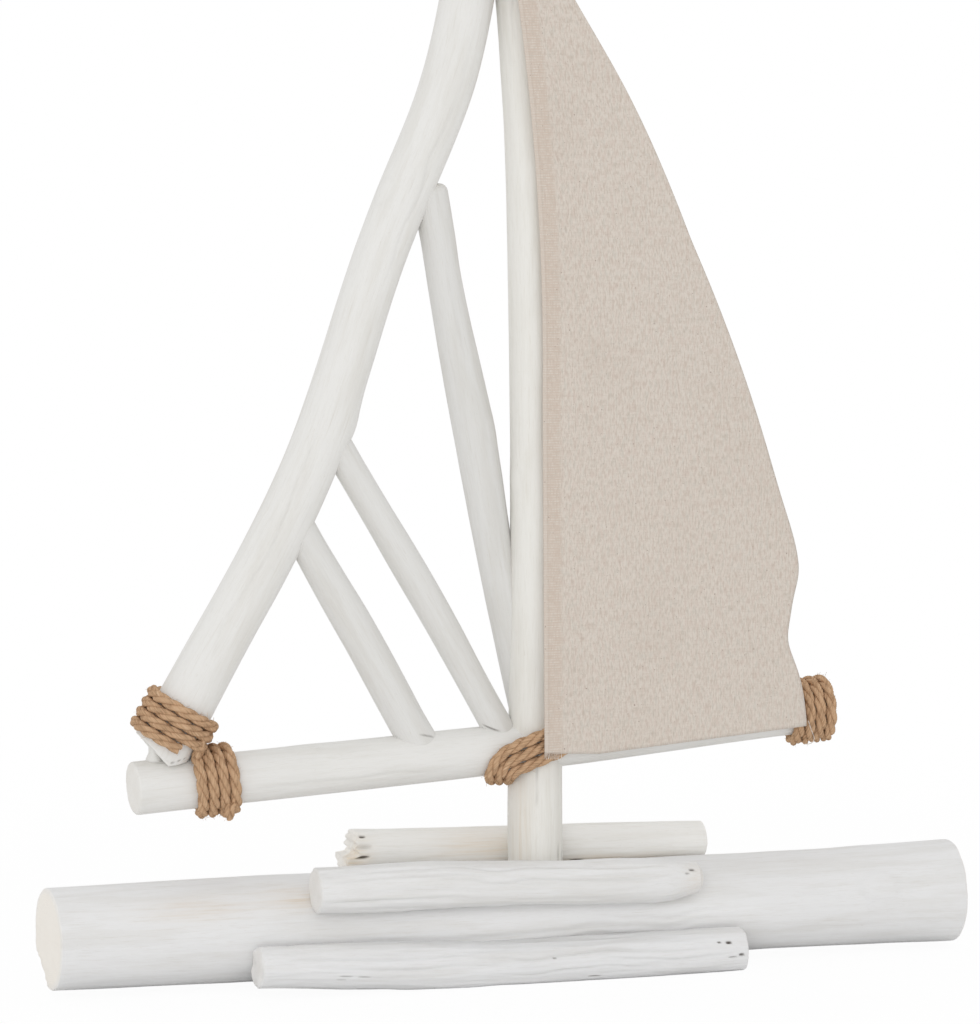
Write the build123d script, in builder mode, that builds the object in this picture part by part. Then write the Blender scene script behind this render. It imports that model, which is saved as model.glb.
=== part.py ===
from build123d import *

import os
from collections import namedtuple
from math import cos, radians, sin, sqrt, tan

# Driftwood model sailing boat: a hull log on two side sticks, a mast, a boom and a leaning
# spar braced by three struts, rope lashings at the crossings and a linen sail.
# Millimetres. X runs along the log from the fore end to the aft end, Y to the far side, Z up.
# The origin is on the floor below the middle of the log.

# Hull log
LOG_LENGTH = 523.0
LOG_DIAMETER = 57.0
LOG_FLOOR_GAP = 2.6
LOG_CHOP_ANGLE = 5.6
LOG_BEVEL_ANGLE = 45.6
LOG_BEVEL_BEARING = 57.7
LOG_BEVEL_DEPTH = 4.0

# Side sticks: how far each is bedded into the log, and the flat planed under the lower pair
BED_DEPTH = 0.8
FOOT_FLAT = 1.0
UPPER_NEAR_START = -118.8
UPPER_NEAR_LENGTH = 221.3
UPPER_NEAR_DIAMETER = 27.4
UPPER_FAR_START = -95.5
UPPER_FAR_LENGTH = 214.3
UPPER_FAR_DIAMETER = 23.0
SPLINTER_DEPTH = 6.5
SPLINTER_TOOTH = 3.2
SPLINTER_TEETH = 5
LOWER_START = -153.5
LOWER_LENGTH = 282.0
LOWER_DIAMETER = 25.2

# Mast, boom and spar stand in one upright plane at this Y
FRAME_Y = -8.0
MAST_FOOT_X = 13.8
MAST_HEAD_X = -4.5
MAST_TOP = 610.0
MAST_DIAMETER = 30.0
TENON_DIAMETER = 19.6
TENON_LENGTH = 24.0
TENON_CLEARANCE = 0.2
BOOM_FORE_X = -213.0
BOOM_FORE_Z = 113.0
BOOM_AFT_X = 184.0
BOOM_AFT_Z = 141.1
BOOM_DIAMETER = 27.5
SPAR_FOOT_X = -206.5
SPAR_FOOT_DEPTH = 8.6
SPAR_BITE = 1.7
SPAR_HEEL_X = -195.6
SPAR_HEEL_ANGLE = 47.6
SPAR_HEAD_DROP = 38.0
SPAR_HEAD_INSET = 12.0
SPAR_DIAMETER = 30.0

# Struts: places of their feet on the boom or mast and of their heads on the spar
STRUT_LONG_DIAMETER = 19.6
STRUT_LONG_FOOT_Z = 146.0
STRUT_LONG_INSET = 3.2
STRUT_LONG_SETBACK = 9.0
STRUT_LONG_HEAD_Z = 460.0
STRUT_MIDDLE_DIAMETER = 18.0
STRUT_MIDDLE_FOOT_X = -2.0
STRUT_MIDDLE_HEAD_Z = 309.0
STRUT_SHORT_DIAMETER = 20.6
STRUT_SHORT_FOOT_X = -48.5
STRUT_SHORT_HEAD_Z = 263.0

# Peg between the boom and the spar's slanting heel
PEG_DIAMETER = 7.2
PEG_OFFSET = 5.1
PEG_BITE = 10.0
PEG_CLEARANCE = 0.1
PEG_COLLAR_DIAMETER = 13.0
PEG_COLLAR_HEIGHT = 4.0

# Rope lashings
ROPE_DIAMETER = 6.0
ROPE_OVERLAP = 0.2
ROPE_GAP = 0.2
SPAR_TURNS = 4
SPAR_TURNS_RISE = 29.0
BOOM_TURNS = 4
BOOM_TURNS_X = -168.8
AFT_TURNS = 3
AFT_TURNS_EDGE = 0.9
CROSSING_TURNS = 3
CROSSING_ANGLE = 40.0
CROSSING_SHIFT = 2.5
HEAD_TURNS = 4
HEAD_TURNS_EDGE = 2.0

# Sail
SAIL_THICKNESS = 0.8
SAIL_GAP = 0.6
SAIL_TACK = (12.5, 122.0)
SAIL_CLEW = (164.0, 134.5)
SAIL_HEAD_X = -13.0
SAIL_HEAD_DROP = 13.0
SAIL_HEAD_WIDTH = 4.0
LUFF_KNEE = (11.2, 320.0)
LUFF_CURVE = (4.5, 475.0)
LEECH_UPPER = (61.2, 482.3)
LEECH_CURVE = (95.2, 406.0)
LEECH_LOWER = (136.6, 300.7)
LEECH_BULGE = (158.6, 220.0)
LEECH_TURN = (155.6, 203.0)
LEECH_HOLLOW = (152.6, 184.0)
LEECH_FLARE = (160.5, 161.0)
SAIL_MARGIN = 12.0

END_ROUND = 1.2

# One cross-section of a stick: along is the share of its length, bow the distance in mm that
# its axis stands to one side of a straight line from end to end, girth the share of its
# nominal diameter.
Bend = namedtuple("Bend", "along bow girth")
LOG_BENDS = (
    Bend(0.000, 0.0, 0.975),
    Bend(0.250, 0.4, 1.018),
    Bend(0.500, 0.6, 1.000),
    Bend(0.750, 0.3, 0.968),
    Bend(1.000, 0.0, 1.025),
)
MAST_BENDS = (
    Bend(0.000, 0.0, 1.000),
    Bend(0.167, 2.1, 1.000),
    Bend(0.333, 4.6, 0.910),
    Bend(0.500, 6.1, 0.840),
    Bend(0.667, 7.0, 0.805),
    Bend(0.833, 5.1, 0.780),
    Bend(1.000, 0.0, 0.760),
)
BOOM_BENDS = (
    Bend(0.000, 0.0, 1.050),
    Bend(0.250, 1.3, 1.020),
    Bend(0.500, 1.9, 1.000),
    Bend(0.750, 1.1, 0.965),
    Bend(1.000, 0.0, 0.945),
)
SPAR_BENDS = (
    Bend(0.000, 0.0, 1.050),
    Bend(0.125, 7.7, 1.045),
    Bend(0.250, 15.0, 1.020),
    Bend(0.375, 19.4, 1.010),
    Bend(0.500, 16.4, 0.980),
    Bend(0.625, 11.4, 0.970),
    Bend(0.750, 10.9, 0.990),
    Bend(0.875, 6.9, 1.000),
    Bend(1.000, 0.0, 0.980),
)
STRUT_LONG_BENDS = (
    Bend(0.000, 0.0, 0.970),
    Bend(0.167, -1.0, 1.040),
    Bend(0.333, -1.7, 1.090),
    Bend(0.500, -1.3, 1.180),
    Bend(0.667, -2.5, 1.060),
    Bend(0.833, -2.1, 0.970),
    Bend(1.000, 0.0, 0.920),
)
STRUT_MIDDLE_BENDS = (
    Bend(0.000, 0.0, 1.020),
    Bend(0.250, 0.4, 0.970),
    Bend(0.500, 0.9, 1.020),
    Bend(0.750, 0.2, 0.970),
    Bend(1.000, 0.0, 1.000),
)
STRUT_SHORT_BENDS = (
    Bend(0.000, 0.0, 1.060),
    Bend(0.250, -0.4, 1.040),
    Bend(0.500, -0.1, 1.050),
    Bend(0.750, -0.8, 0.960),
    Bend(1.000, 0.0, 0.930),
)

# One cross-section of an upper stick: bearing is the angle above level, in degrees, at which
# it lies against the log.
Bedded = namedtuple("Bedded", "along bearing girth")
UPPER_NEAR_BEDS = (
    Bedded(0.000, 39.6, 0.910),
    Bedded(0.200, 38.2, 1.000),
    Bedded(0.400, 36.2, 1.015),
    Bedded(0.600, 33.3, 1.000),
    Bedded(0.800, 32.8, 0.970),
    Bedded(1.000, 37.0, 0.660),
)
UPPER_FAR_BEDS = (
    Bedded(0.000, 77.0, 1.040),
    Bedded(0.250, 68.3, 1.020),
    Bedded(0.500, 64.9, 1.010),
    Bedded(0.750, 62.3, 1.000),
    Bedded(1.000, 58.6, 0.970),
)

# One cross-section of a lower stick: lift is how far its underside curves up from the floor.
Lifted = namedtuple("Lifted", "along lift girth")
LOWER_LIFTS = (
    Lifted(0.000, 6.5, 0.900),
    Lifted(0.200, 3.2, 0.985),
    Lifted(0.400, 0.6, 1.000),
    Lifted(0.600, 0.0, 1.000),
    Lifted(0.800, 0.0, 1.010),
    Lifted(1.000, 0.5, 0.980),
)

# One level of the sail: rise is the share of its height, over how far its luff stands off the
# mast (0) and out over a lashing (1), belly how far the cloth swells forward in its middle.
Level = namedtuple("Level", "rise over belly")
SAIL_LEVELS = (
    Level(-0.05, 1.10, 0.3),
    Level(0.05, 1.10, 0.4),
    Level(0.16, 0.48, 1.6),
    Level(0.30, 0.06, 2.8),
    Level(0.50, 0.00, 3.4),
    Level(0.72, 0.08, 2.6),
    Level(0.84, 0.50, 1.2),
    Level(0.92, 1.00, 0.4),
    Level(1.04, 1.00, 0.3),
)

LOG_RADIUS = LOG_DIAMETER / 2
LOG_AXIS_Z = LOG_FLOOR_GAP + LOG_RADIUS
ROPE_RADIUS = ROPE_DIAMETER / 2
ROPE_PITCH = ROPE_DIAMETER - ROPE_OVERLAP
LOOP_PITCH = ROPE_DIAMETER + ROPE_GAP
SPAR_HEAD_Z = MAST_TOP - SPAR_HEAD_DROP
SAIL_HEAD = (SAIL_HEAD_X, MAST_TOP - SAIL_HEAD_DROP)
FORWARD = Vector(0, -1, 0)
UPWARD = Vector(0, 0, 1)

# A stick's axis: the centres of its sections and their radii, from foot to head.
StickAxis = namedtuple("StickAxis", "centres radii")


def bent_axis(foot, head, bends, diameter):
    """Axis of a stick that bows sideways, in its upright plane, between its two ends."""
    run = head - foot
    side = FORWARD.cross(run).normalized() * -1
    centres = [foot + run * bend.along + side * bend.bow for bend in bends]
    return StickAxis(centres, [bend.girth * diameter / 2 for bend in bends])


def upper_axis(start, length, diameter, beds, side):
    """Axis of an upper stick that lies against the log, on the near (-1) or far (1) side."""
    centres = []
    radii = [bed.girth * diameter / 2 for bed in beds]
    for bed, radius in zip(beds, radii):
        x = start + bed.along * length
        log_z, log_radius = log_section(x)
        reach = log_radius + radius - BED_DEPTH
        bearing = radians(bed.bearing)
        centres.append(Vector(x, side * reach * cos(bearing), log_z + reach * sin(bearing)))
    return StickAxis(centres, radii)


def lower_axis(start, length, diameter, lifts):
    """Axis of the near lower stick, which stands on the floor and lies against the log."""
    centres = []
    radii = [row.girth * diameter / 2 for row in lifts]
    for row, radius in zip(lifts, radii):
        x = start + row.along * length
        z = radius + row.lift - FOOT_FLAT
        log_z, log_radius = log_section(x)
        reach = log_radius + radius - BED_DEPTH
        centres.append(Vector(x, -sqrt(reach**2 - (log_z - z) ** 2), z))
    return StickAxis(centres, radii)


def axis_directions(centres):
    """Direction of a bent axis at each centre, curving on past its two ends."""
    chords = [(after - before).normalized() for before, after in zip(centres, centres[1:])]
    middle = [(low + high).normalized() for low, high in zip(chords, chords[1:])]
    first = (chords[0] * 2 - middle[0]).normalized()
    last = (chords[-1] * 2 - middle[-1]).normalized()
    return [first, *middle, last]


def round_stick(axis):
    """A stick lofted through round sections, its two end edges worn round."""
    directions = axis_directions(axis.centres)
    with BuildPart() as stick:
        for centre, direction, radius in zip(axis.centres, directions, axis.radii):
            with BuildSketch(Plane(centre, x_dir=(0, 1, 0), z_dir=direction)):
                Circle(radius)
        loft()
        fillet(stick.faces().filter_by(GeomType.PLANE).edges(), END_ROUND)
    return stick.part


def axis_at(axis, value, coordinate):
    """The point of a stick's axis, straight between its centres, at a value of X or Z."""
    for low, high in zip(axis.centres, axis.centres[1:]):
        if value <= max(getattr(low, coordinate), getattr(high, coordinate)):
            break
    start = getattr(low, coordinate)
    share = (value - start) / (getattr(high, coordinate) - start)
    return low + (high - low) * share, (high - low).normalized()


def section_box(stick, plane):
    """Box of a stick's section, in the plane's own x and y."""
    cut = section(stick, section_by=plane, mode=Mode.PRIVATE)
    return plane.to_local_coords(cut).bounding_box()


def log_section(x):
    """Height of the log's middle and its radius at a place along it."""
    girth = section_box(log_form, Plane((x, 0, 0), x_dir=(0, 1, 0), z_dir=(1, 0, 0)))
    return girth.center().Y, girth.size.X / 2


def rope_turns(stick, centre, direction, turns):
    """Turns of rope side by side round one stick, as a solid of revolution."""
    square = Plane(centre, x_dir=(0, 1, 0), z_dir=direction)
    girth = section_box(stick, square)
    middle = square.from_local_coords(girth.center())
    reach = max(girth.size.X, girth.size.Y) / 2 + ROPE_GAP + ROPE_RADIUS
    with BuildPart() as coil:
        with BuildSketch(Plane(middle, x_dir=square.x_dir, z_dir=square.y_dir)):
            with GridLocations(0, ROPE_PITCH, 1, turns):
                with Locations((reach, 0)):
                    Circle(ROPE_RADIUS)
        revolve(axis=Axis(middle, direction))
        add(stick, mode=Mode.SUBTRACT)
    return coil.part


def rope_loop(plane, sticks):
    """One turn of rope round two sticks that cross, a rounded rectangle in its plane."""
    boxes = [section_box(stick, plane) for stick in sticks]
    margin = ROPE_GAP + ROPE_RADIUS
    low = min(box.min.X for box in boxes) - margin
    high = max(box.max.X for box in boxes) + margin
    bottom = min(box.min.Y for box in boxes) - margin
    top = max(box.max.Y for box in boxes) + margin
    corner = (top - bottom) * 0.3
    with BuildPart() as loop:
        with BuildLine(plane) as path:
            FilletPolyline(
                (low, bottom), (high, bottom), (high, top), (low, top), radius=corner, close=True
            )
        with BuildSketch(Plane(path.line @ 0, z_dir=path.line % 0)):
            Circle(ROPE_RADIUS)
        sweep(path=path.line)
    return loop.part


def frame_point(x, z):
    return Vector(x, FRAME_Y, z)


# Axes of the frame sticks
mast_axis = bent_axis(
    frame_point(MAST_FOOT_X, LOG_AXIS_Z), frame_point(MAST_HEAD_X, MAST_TOP), MAST_BENDS, MAST_DIAMETER
)
boom_axis = bent_axis(
    frame_point(BOOM_FORE_X, BOOM_FORE_Z), frame_point(BOOM_AFT_X, BOOM_AFT_Z), BOOM_BENDS, BOOM_DIAMETER
)
boom_fore_radius = BOOM_BENDS[0].girth * BOOM_DIAMETER / 2
spar_below, boom_run = axis_at(boom_axis, SPAR_FOOT_X, "X")
spar_foot_z = spar_below.Z + boom_fore_radius - SPAR_FOOT_DEPTH
masthead, mast_run = axis_at(mast_axis, SPAR_HEAD_Z, "Z")
spar_axis = bent_axis(
    frame_point(SPAR_FOOT_X, spar_foot_z),
    frame_point(masthead.X - SPAR_HEAD_INSET, SPAR_HEAD_Z),
    SPAR_BENDS,
    SPAR_DIAMETER,
)

# Forms of the sticks before they are cut to fit each other; the log is chopped clear of its round end
log_axis = bent_axis(
    Vector(-LOG_LENGTH / 2 - 2 * END_ROUND, 0, LOG_AXIS_Z),
    Vector(LOG_LENGTH / 2, 0, LOG_AXIS_Z),
    LOG_BENDS,
    LOG_DIAMETER,
)
log_form = round_stick(log_axis)
mast_form = round_stick(mast_axis)
boom_form = round_stick(boom_axis)
spar_form = round_stick(spar_axis)

# Hull log: fore end chopped at a slant, bevelled low on its far side; blind mortise for the mast
chop = radians(LOG_CHOP_ANGLE)
chop_x = -LOG_LENGTH / 2 + LOG_RADIUS * tan(chop)
chop_plane = Plane((chop_x, 0, LOG_AXIS_Z), x_dir=(0, 0, 1), z_dir=(cos(chop), sin(chop), 0))
bevel = radians(LOG_BEVEL_ANGLE)
bevel_far = cos(radians(LOG_BEVEL_BEARING))
bevel_down = sin(radians(LOG_BEVEL_BEARING))
bevel_reach = LOG_BENDS[0].girth * LOG_RADIUS - LOG_BEVEL_DEPTH
bevel_y = bevel_reach * bevel_far
bevel_plane = Plane(
    (chop_x - bevel_y * tan(chop), bevel_y, LOG_AXIS_Z - bevel_reach * bevel_down),
    x_dir=(0, bevel_down, bevel_far),
    z_dir=(cos(bevel), -sin(bevel) * bevel_far, sin(bevel) * bevel_down),
)
mast_foot, mast_rise = axis_at(mast_axis, LOG_AXIS_Z + LOG_RADIUS, "Z")
tenon_plane = Plane(mast_foot - mast_rise * TENON_LENGTH, x_dir=(0, 1, 0), z_dir=mast_rise)
with BuildPart() as hull_log:
    add(log_form)
    split(bisect_by=chop_plane, keep=Keep.TOP)
    split(bisect_by=bevel_plane, keep=Keep.TOP)
    with BuildSketch(tenon_plane):
        Circle(TENON_DIAMETER / 2 + TENON_CLEARANCE)
    extrude(amount=2 * TENON_LENGTH, mode=Mode.SUBTRACT)

# Side sticks, scribed to the log; the lower pair is planed flat where it stands
upper_near_form = round_stick(
    upper_axis(UPPER_NEAR_START, UPPER_NEAR_LENGTH, UPPER_NEAR_DIAMETER, UPPER_NEAR_BEDS, -1)
)
with BuildPart() as stick_upper_near:
    add(upper_near_form)
    add(log_form, mode=Mode.SUBTRACT)

upper_far_axis = upper_axis(UPPER_FAR_START, UPPER_FAR_LENGTH, UPPER_FAR_DIAMETER, UPPER_FAR_BEDS, 1)
upper_far_form = round_stick(upper_far_axis)
splinter_plane = Plane(upper_far_axis.centres[0], x_dir=(1, 0, 0), z_dir=FORWARD)
tooth_height = UPPER_FAR_DIAMETER / SPLINTER_TEETH
splinter_edge = [
    (SPLINTER_DEPTH + row % 2 * SPLINTER_TOOTH, (row - 1) * tooth_height / 2)
    for row in range(2 * SPLINTER_TEETH)
]
with BuildPart() as stick_upper_far:
    add(upper_far_form)
    add(log_form, mode=Mode.SUBTRACT)
    with BuildSketch(splinter_plane):
        with BuildLine():
            Polyline(
                (-UPPER_FAR_DIAMETER, splinter_edge[0][1]),
                *splinter_edge,
                (-UPPER_FAR_DIAMETER, splinter_edge[-1][1]),
                close=True,
            )
        make_face()
    extrude(amount=UPPER_FAR_DIAMETER, both=True, mode=Mode.SUBTRACT)

lower_form = round_stick(lower_axis(LOWER_START, LOWER_LENGTH, LOWER_DIAMETER, LOWER_LIFTS))
with BuildPart() as stick_lower_near:
    add(lower_form)
    add(log_form, mode=Mode.SUBTRACT)
    split(bisect_by=Plane.XY, keep=Keep.TOP)

with BuildPart() as stick_lower_far:
    mirror(stick_lower_near.part, about=Plane.XZ)

# Mast and boom: half lapped where they cross, each keeping one half of the other's thickness
lap_plane = Plane((0, FRAME_Y, 0), x_dir=(1, 0, 0), z_dir=FORWARD)
with BuildPart() as boom_back:
    add(boom_form)
    split(bisect_by=lap_plane, keep=Keep.BOTTOM)

with BuildPart() as mast_front:
    add(mast_form)
    split(bisect_by=lap_plane, keep=Keep.TOP)

with BuildPart() as mast:
    add(mast_form)
    add(log_form, mode=Mode.SUBTRACT)
    add(upper_near_form, mode=Mode.SUBTRACT)
    add(upper_far_form, mode=Mode.SUBTRACT)
    add(boom_back.part, mode=Mode.SUBTRACT)
    with BuildSketch(tenon_plane):
        Circle(TENON_DIAMETER / 2)
    extrude(amount=TENON_LENGTH)

# Spar's foot: sawn to a seat on the boom and to a heel that slants up from it
seat_below, boom_run = axis_at(boom_axis, SPAR_HEEL_X, "X")
seat_point = frame_point(SPAR_HEEL_X, seat_below.Z + boom_fore_radius - SPAR_BITE)
seat_plane = Plane(seat_point, x_dir=boom_run, z_dir=(-boom_run.Z, 0, boom_run.X))
heel = radians(SPAR_HEEL_ANGLE)
heel_plane = Plane(seat_point, x_dir=(0, 1, 0), z_dir=(sin(heel), 0, cos(heel)))
with BuildPart() as spar_footed:
    add(spar_form)
    split(bisect_by=seat_plane, keep=Keep.TOP)
    split(bisect_by=heel_plane, keep=Keep.TOP)

# Peg from the boom into the spar's heel, with a collar of filler where it leaves the boom
peg_axis, boom_run = axis_at(boom_axis, SPAR_HEEL_X - PEG_OFFSET, "X")
peg_base_z = peg_axis.Z + boom_fore_radius
heel_z = seat_point.Z + PEG_OFFSET * tan(heel)
peg_plane = Plane(frame_point(peg_axis.X, peg_base_z - PEG_BITE))
peg_length = heel_z - peg_base_z + 2 * PEG_BITE
with BuildPart() as peg_bore:
    with BuildSketch(peg_plane):
        Circle(PEG_DIAMETER / 2 + PEG_CLEARANCE)
    extrude(amount=peg_length)

with BuildPart() as boom:
    add(boom_form)
    add(mast_front.part, mode=Mode.SUBTRACT)
    add(peg_bore.part, mode=Mode.SUBTRACT)

with BuildPart() as spar:
    add(spar_footed.part)
    add(mast_form, mode=Mode.SUBTRACT)
    add(boom_form, mode=Mode.SUBTRACT)
    add(peg_bore.part, mode=Mode.SUBTRACT)

with BuildPart() as spar_peg:
    with BuildSketch(Plane(frame_point(peg_axis.X, peg_base_z - PEG_COLLAR_HEIGHT))):
        Circle(PEG_COLLAR_DIAMETER / 2)
    with BuildSketch(Plane(frame_point(peg_axis.X, peg_base_z + PEG_COLLAR_HEIGHT))):
        Circle(PEG_DIAMETER / 2)
    loft()
    add(boom_form, mode=Mode.SUBTRACT)
    add(spar_footed.part, mode=Mode.SUBTRACT)
    with BuildSketch(peg_plane):
        Circle(PEG_DIAMETER / 2)
    extrude(amount=peg_length)

# Struts: each runs into the spar at its head and is cut to fit what it meets
strut_long_foot, mast_run = axis_at(mast_axis, STRUT_LONG_FOOT_Z, "Z")
strut_long_head, spar_run = axis_at(spar_axis, STRUT_LONG_HEAD_Z, "Z")
strut_long_form = round_stick(
    bent_axis(
        strut_long_foot + Vector(-STRUT_LONG_INSET, STRUT_LONG_SETBACK, 0),
        strut_long_head,
        STRUT_LONG_BENDS,
        STRUT_LONG_DIAMETER,
    )
)
with BuildPart() as strut_long:
    add(strut_long_form)
    add(spar_form, mode=Mode.SUBTRACT)
    add(mast_form, mode=Mode.SUBTRACT)

strut_middle_foot, boom_run = axis_at(boom_axis, STRUT_MIDDLE_FOOT_X, "X")
strut_middle_head, spar_run = axis_at(spar_axis, STRUT_MIDDLE_HEAD_Z, "Z")
strut_middle_form = round_stick(
    bent_axis(strut_middle_foot, strut_middle_head, STRUT_MIDDLE_BENDS, STRUT_MIDDLE_DIAMETER)
)
with BuildPart() as strut_middle:
    add(strut_middle_form)
    add(spar_form, mode=Mode.SUBTRACT)
    add(boom_form, mode=Mode.SUBTRACT)
    add(mast_form, mode=Mode.SUBTRACT)

strut_short_foot, boom_run = axis_at(boom_axis, STRUT_SHORT_FOOT_X, "X")
strut_short_head, spar_run = axis_at(spar_axis, STRUT_SHORT_HEAD_Z, "Z")
strut_short_form = round_stick(
    bent_axis(strut_short_foot, strut_short_head, STRUT_SHORT_BENDS, STRUT_SHORT_DIAMETER)
)
with BuildPart() as strut_short:
    add(strut_short_form)
    add(spar_form, mode=Mode.SUBTRACT)
    add(boom_form, mode=Mode.SUBTRACT)

# Fore lashing: one rope, turned round the spar's foot and then round the boom
spar_on_seat, spar_rise = axis_at(spar_axis, seat_point.Z, "Z")
spar_coil = rope_turns(spar_form, spar_on_seat + spar_rise * SPAR_TURNS_RISE, spar_rise, SPAR_TURNS)
boom_turns_centre, boom_run = axis_at(boom_axis, BOOM_TURNS_X, "X")
boom_coil = rope_turns(boom_form, boom_turns_centre, boom_run, BOOM_TURNS)
with BuildPart() as lashing_fore:
    add(spar_coil)
    add(boom_form, mode=Mode.SUBTRACT)
    add(boom_coil)
    add(spar_form, mode=Mode.SUBTRACT)

# Aft lashing on the boom's end
aft_turns_reach = AFT_TURNS_EDGE + ROPE_RADIUS + (AFT_TURNS - 1) / 2 * ROPE_PITCH
aft_turns_centre, boom_run = axis_at(boom_axis, BOOM_AFT_X - aft_turns_reach, "X")
with BuildPart() as lashing_aft:
    add(rope_turns(boom_form, aft_turns_centre, boom_run, AFT_TURNS))

# Lashing wound slantwise over the crossing of mast and boom
crossing, mast_run = axis_at(mast_axis, (BOOM_FORE_Z + BOOM_AFT_Z) / 2, "Z")
slant = radians(CROSSING_ANGLE)
crossing_plane = Plane(crossing, x_dir=(cos(slant), 0, sin(slant)), z_dir=(-sin(slant), 0, cos(slant)))
crossing_loops = []
for turn in range(CROSSING_TURNS):
    shift = CROSSING_SHIFT + (turn - (CROSSING_TURNS - 1) / 2) * LOOP_PITCH
    crossing_loops.append(rope_loop(crossing_plane.offset(shift), (mast_form, boom_form)))
with BuildPart() as lashing_crossing:
    for loop in crossing_loops:
        add(loop)
    add(mast_form, mode=Mode.SUBTRACT)
    add(boom_form, mode=Mode.SUBTRACT)

# Lashing that ties the spar's head to the masthead
head_loops = []
for turn in range(HEAD_TURNS):
    height = SPAR_HEAD_Z - HEAD_TURNS_EDGE - ROPE_RADIUS - turn * LOOP_PITCH
    head_loops.append(rope_loop(Plane.XY.offset(height), (mast_form, spar_form)))
with BuildPart() as lashing_head:
    for loop in head_loops:
        add(loop)
    add(mast_form, mode=Mode.SUBTRACT)
    add(spar_form, mode=Mode.SUBTRACT)


# Sail: a cloth that lies along the mast, over the lashings at its three corners, and swells
# forward between its edges
luff = (SAIL_TACK, LUFF_KNEE, LUFF_CURVE, SAIL_HEAD)
head_aft = (SAIL_HEAD[0] + SAIL_HEAD_WIDTH, SAIL_HEAD[1])
leech = (SAIL_CLEW, LEECH_HOLLOW, LEECH_BULGE, LEECH_CURVE, head_aft)


def lashing_front(lashing):
    """Y of the sail's back just in front of a lashing."""
    return lashing.part.bounding_box().min.Y - SAIL_GAP


tack_y, clew_y, head_y = map(lashing_front, (lashing_crossing, lashing_aft, lashing_head))


def edge_x(edge, z):
    """X of an edge of the sail at a height, straight between its points."""
    for low, high in zip(edge, edge[1:]):
        if z <= high[1]:
            break
    return low[0] + (high[0] - low[0]) * (z - low[1]) / (high[1] - low[1])


def sail_arcs(level):
    """Three points of the sail's back at a level: luff, middle and leech, each past its edge."""
    z = SAIL_TACK[1] + level.rise * (SAIL_HEAD[1] - SAIL_TACK[1])
    on_mast = section_box(mast_form, Plane.XY.offset(z)).min.Y - SAIL_GAP
    over = tack_y if level.rise < 0.5 else head_y
    luff_y = on_mast + level.over * (over - on_mast)
    leech_y = clew_y + level.rise * (head_y - clew_y)
    fore, aft = edge_x(luff, z) - SAIL_MARGIN, edge_x(leech, z) + SAIL_MARGIN
    middle = ((fore + aft) / 2, (luff_y + leech_y) / 2 - level.belly)
    return z, ((fore, luff_y), middle, (aft, leech_y))


with BuildPart() as sail:
    for level in SAIL_LEVELS:
        z, back = sail_arcs(level)
        front = [(x, y - SAIL_THICKNESS) for x, y in back]
        with BuildSketch(Plane.XY.offset(z)):
            with BuildLine():
                ThreePointArc(*back)
                Line(back[-1], front[-1])
                ThreePointArc(*front[::-1])
                Line(front[0], back[0])
            make_face()
    loft()
    with BuildSketch(lap_plane):
        with BuildLine():
            Line(SAIL_TACK, SAIL_CLEW)
            ThreePointArc(SAIL_CLEW, LEECH_FLARE, LEECH_HOLLOW)
            ThreePointArc(LEECH_HOLLOW, LEECH_TURN, LEECH_BULGE)
            ThreePointArc(LEECH_BULGE, LEECH_LOWER, LEECH_CURVE)
            ThreePointArc(LEECH_CURVE, LEECH_UPPER, head_aft)
            Line(head_aft, SAIL_HEAD)
            ThreePointArc(SAIL_HEAD, LUFF_CURVE, LUFF_KNEE)
            Line(LUFF_KNEE, SAIL_TACK)
        make_face()
    extrude(amount=MAST_TOP, both=True, mode=Mode.INTERSECT)

PIECES = {
    "hull_log": hull_log,
    "stick_upper_near": stick_upper_near,
    "stick_upper_far": stick_upper_far,
    "stick_lower_near": stick_lower_near,
    "stick_lower_far": stick_lower_far,
    "mast": mast,
    "boom": boom,
    "spar": spar,
    "spar_peg": spar_peg,
    "strut_long": strut_long,
    "strut_middle": strut_middle,
    "strut_short": strut_short,
    "lashing_fore": lashing_fore,
    "lashing_crossing": lashing_crossing,
    "lashing_aft": lashing_aft,
    "lashing_head": lashing_head,
    "sail": sail,
}
os.makedirs("parts", exist_ok=True)
for name, piece in PIECES.items():
    piece.part.label = name
    export_step(piece.part, f"parts/{name}.step")
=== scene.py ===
"""Driftwood model sailing boat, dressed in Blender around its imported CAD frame."""

from collections import namedtuple
from itertools import product
from math import pi, radians, sqrt, tan

import bpy
import numpy as np
from bpy.props import FloatProperty, FloatVectorProperty, IntProperty, PointerProperty
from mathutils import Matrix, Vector
from mathutils.bvhtree import BVHTree


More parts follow.
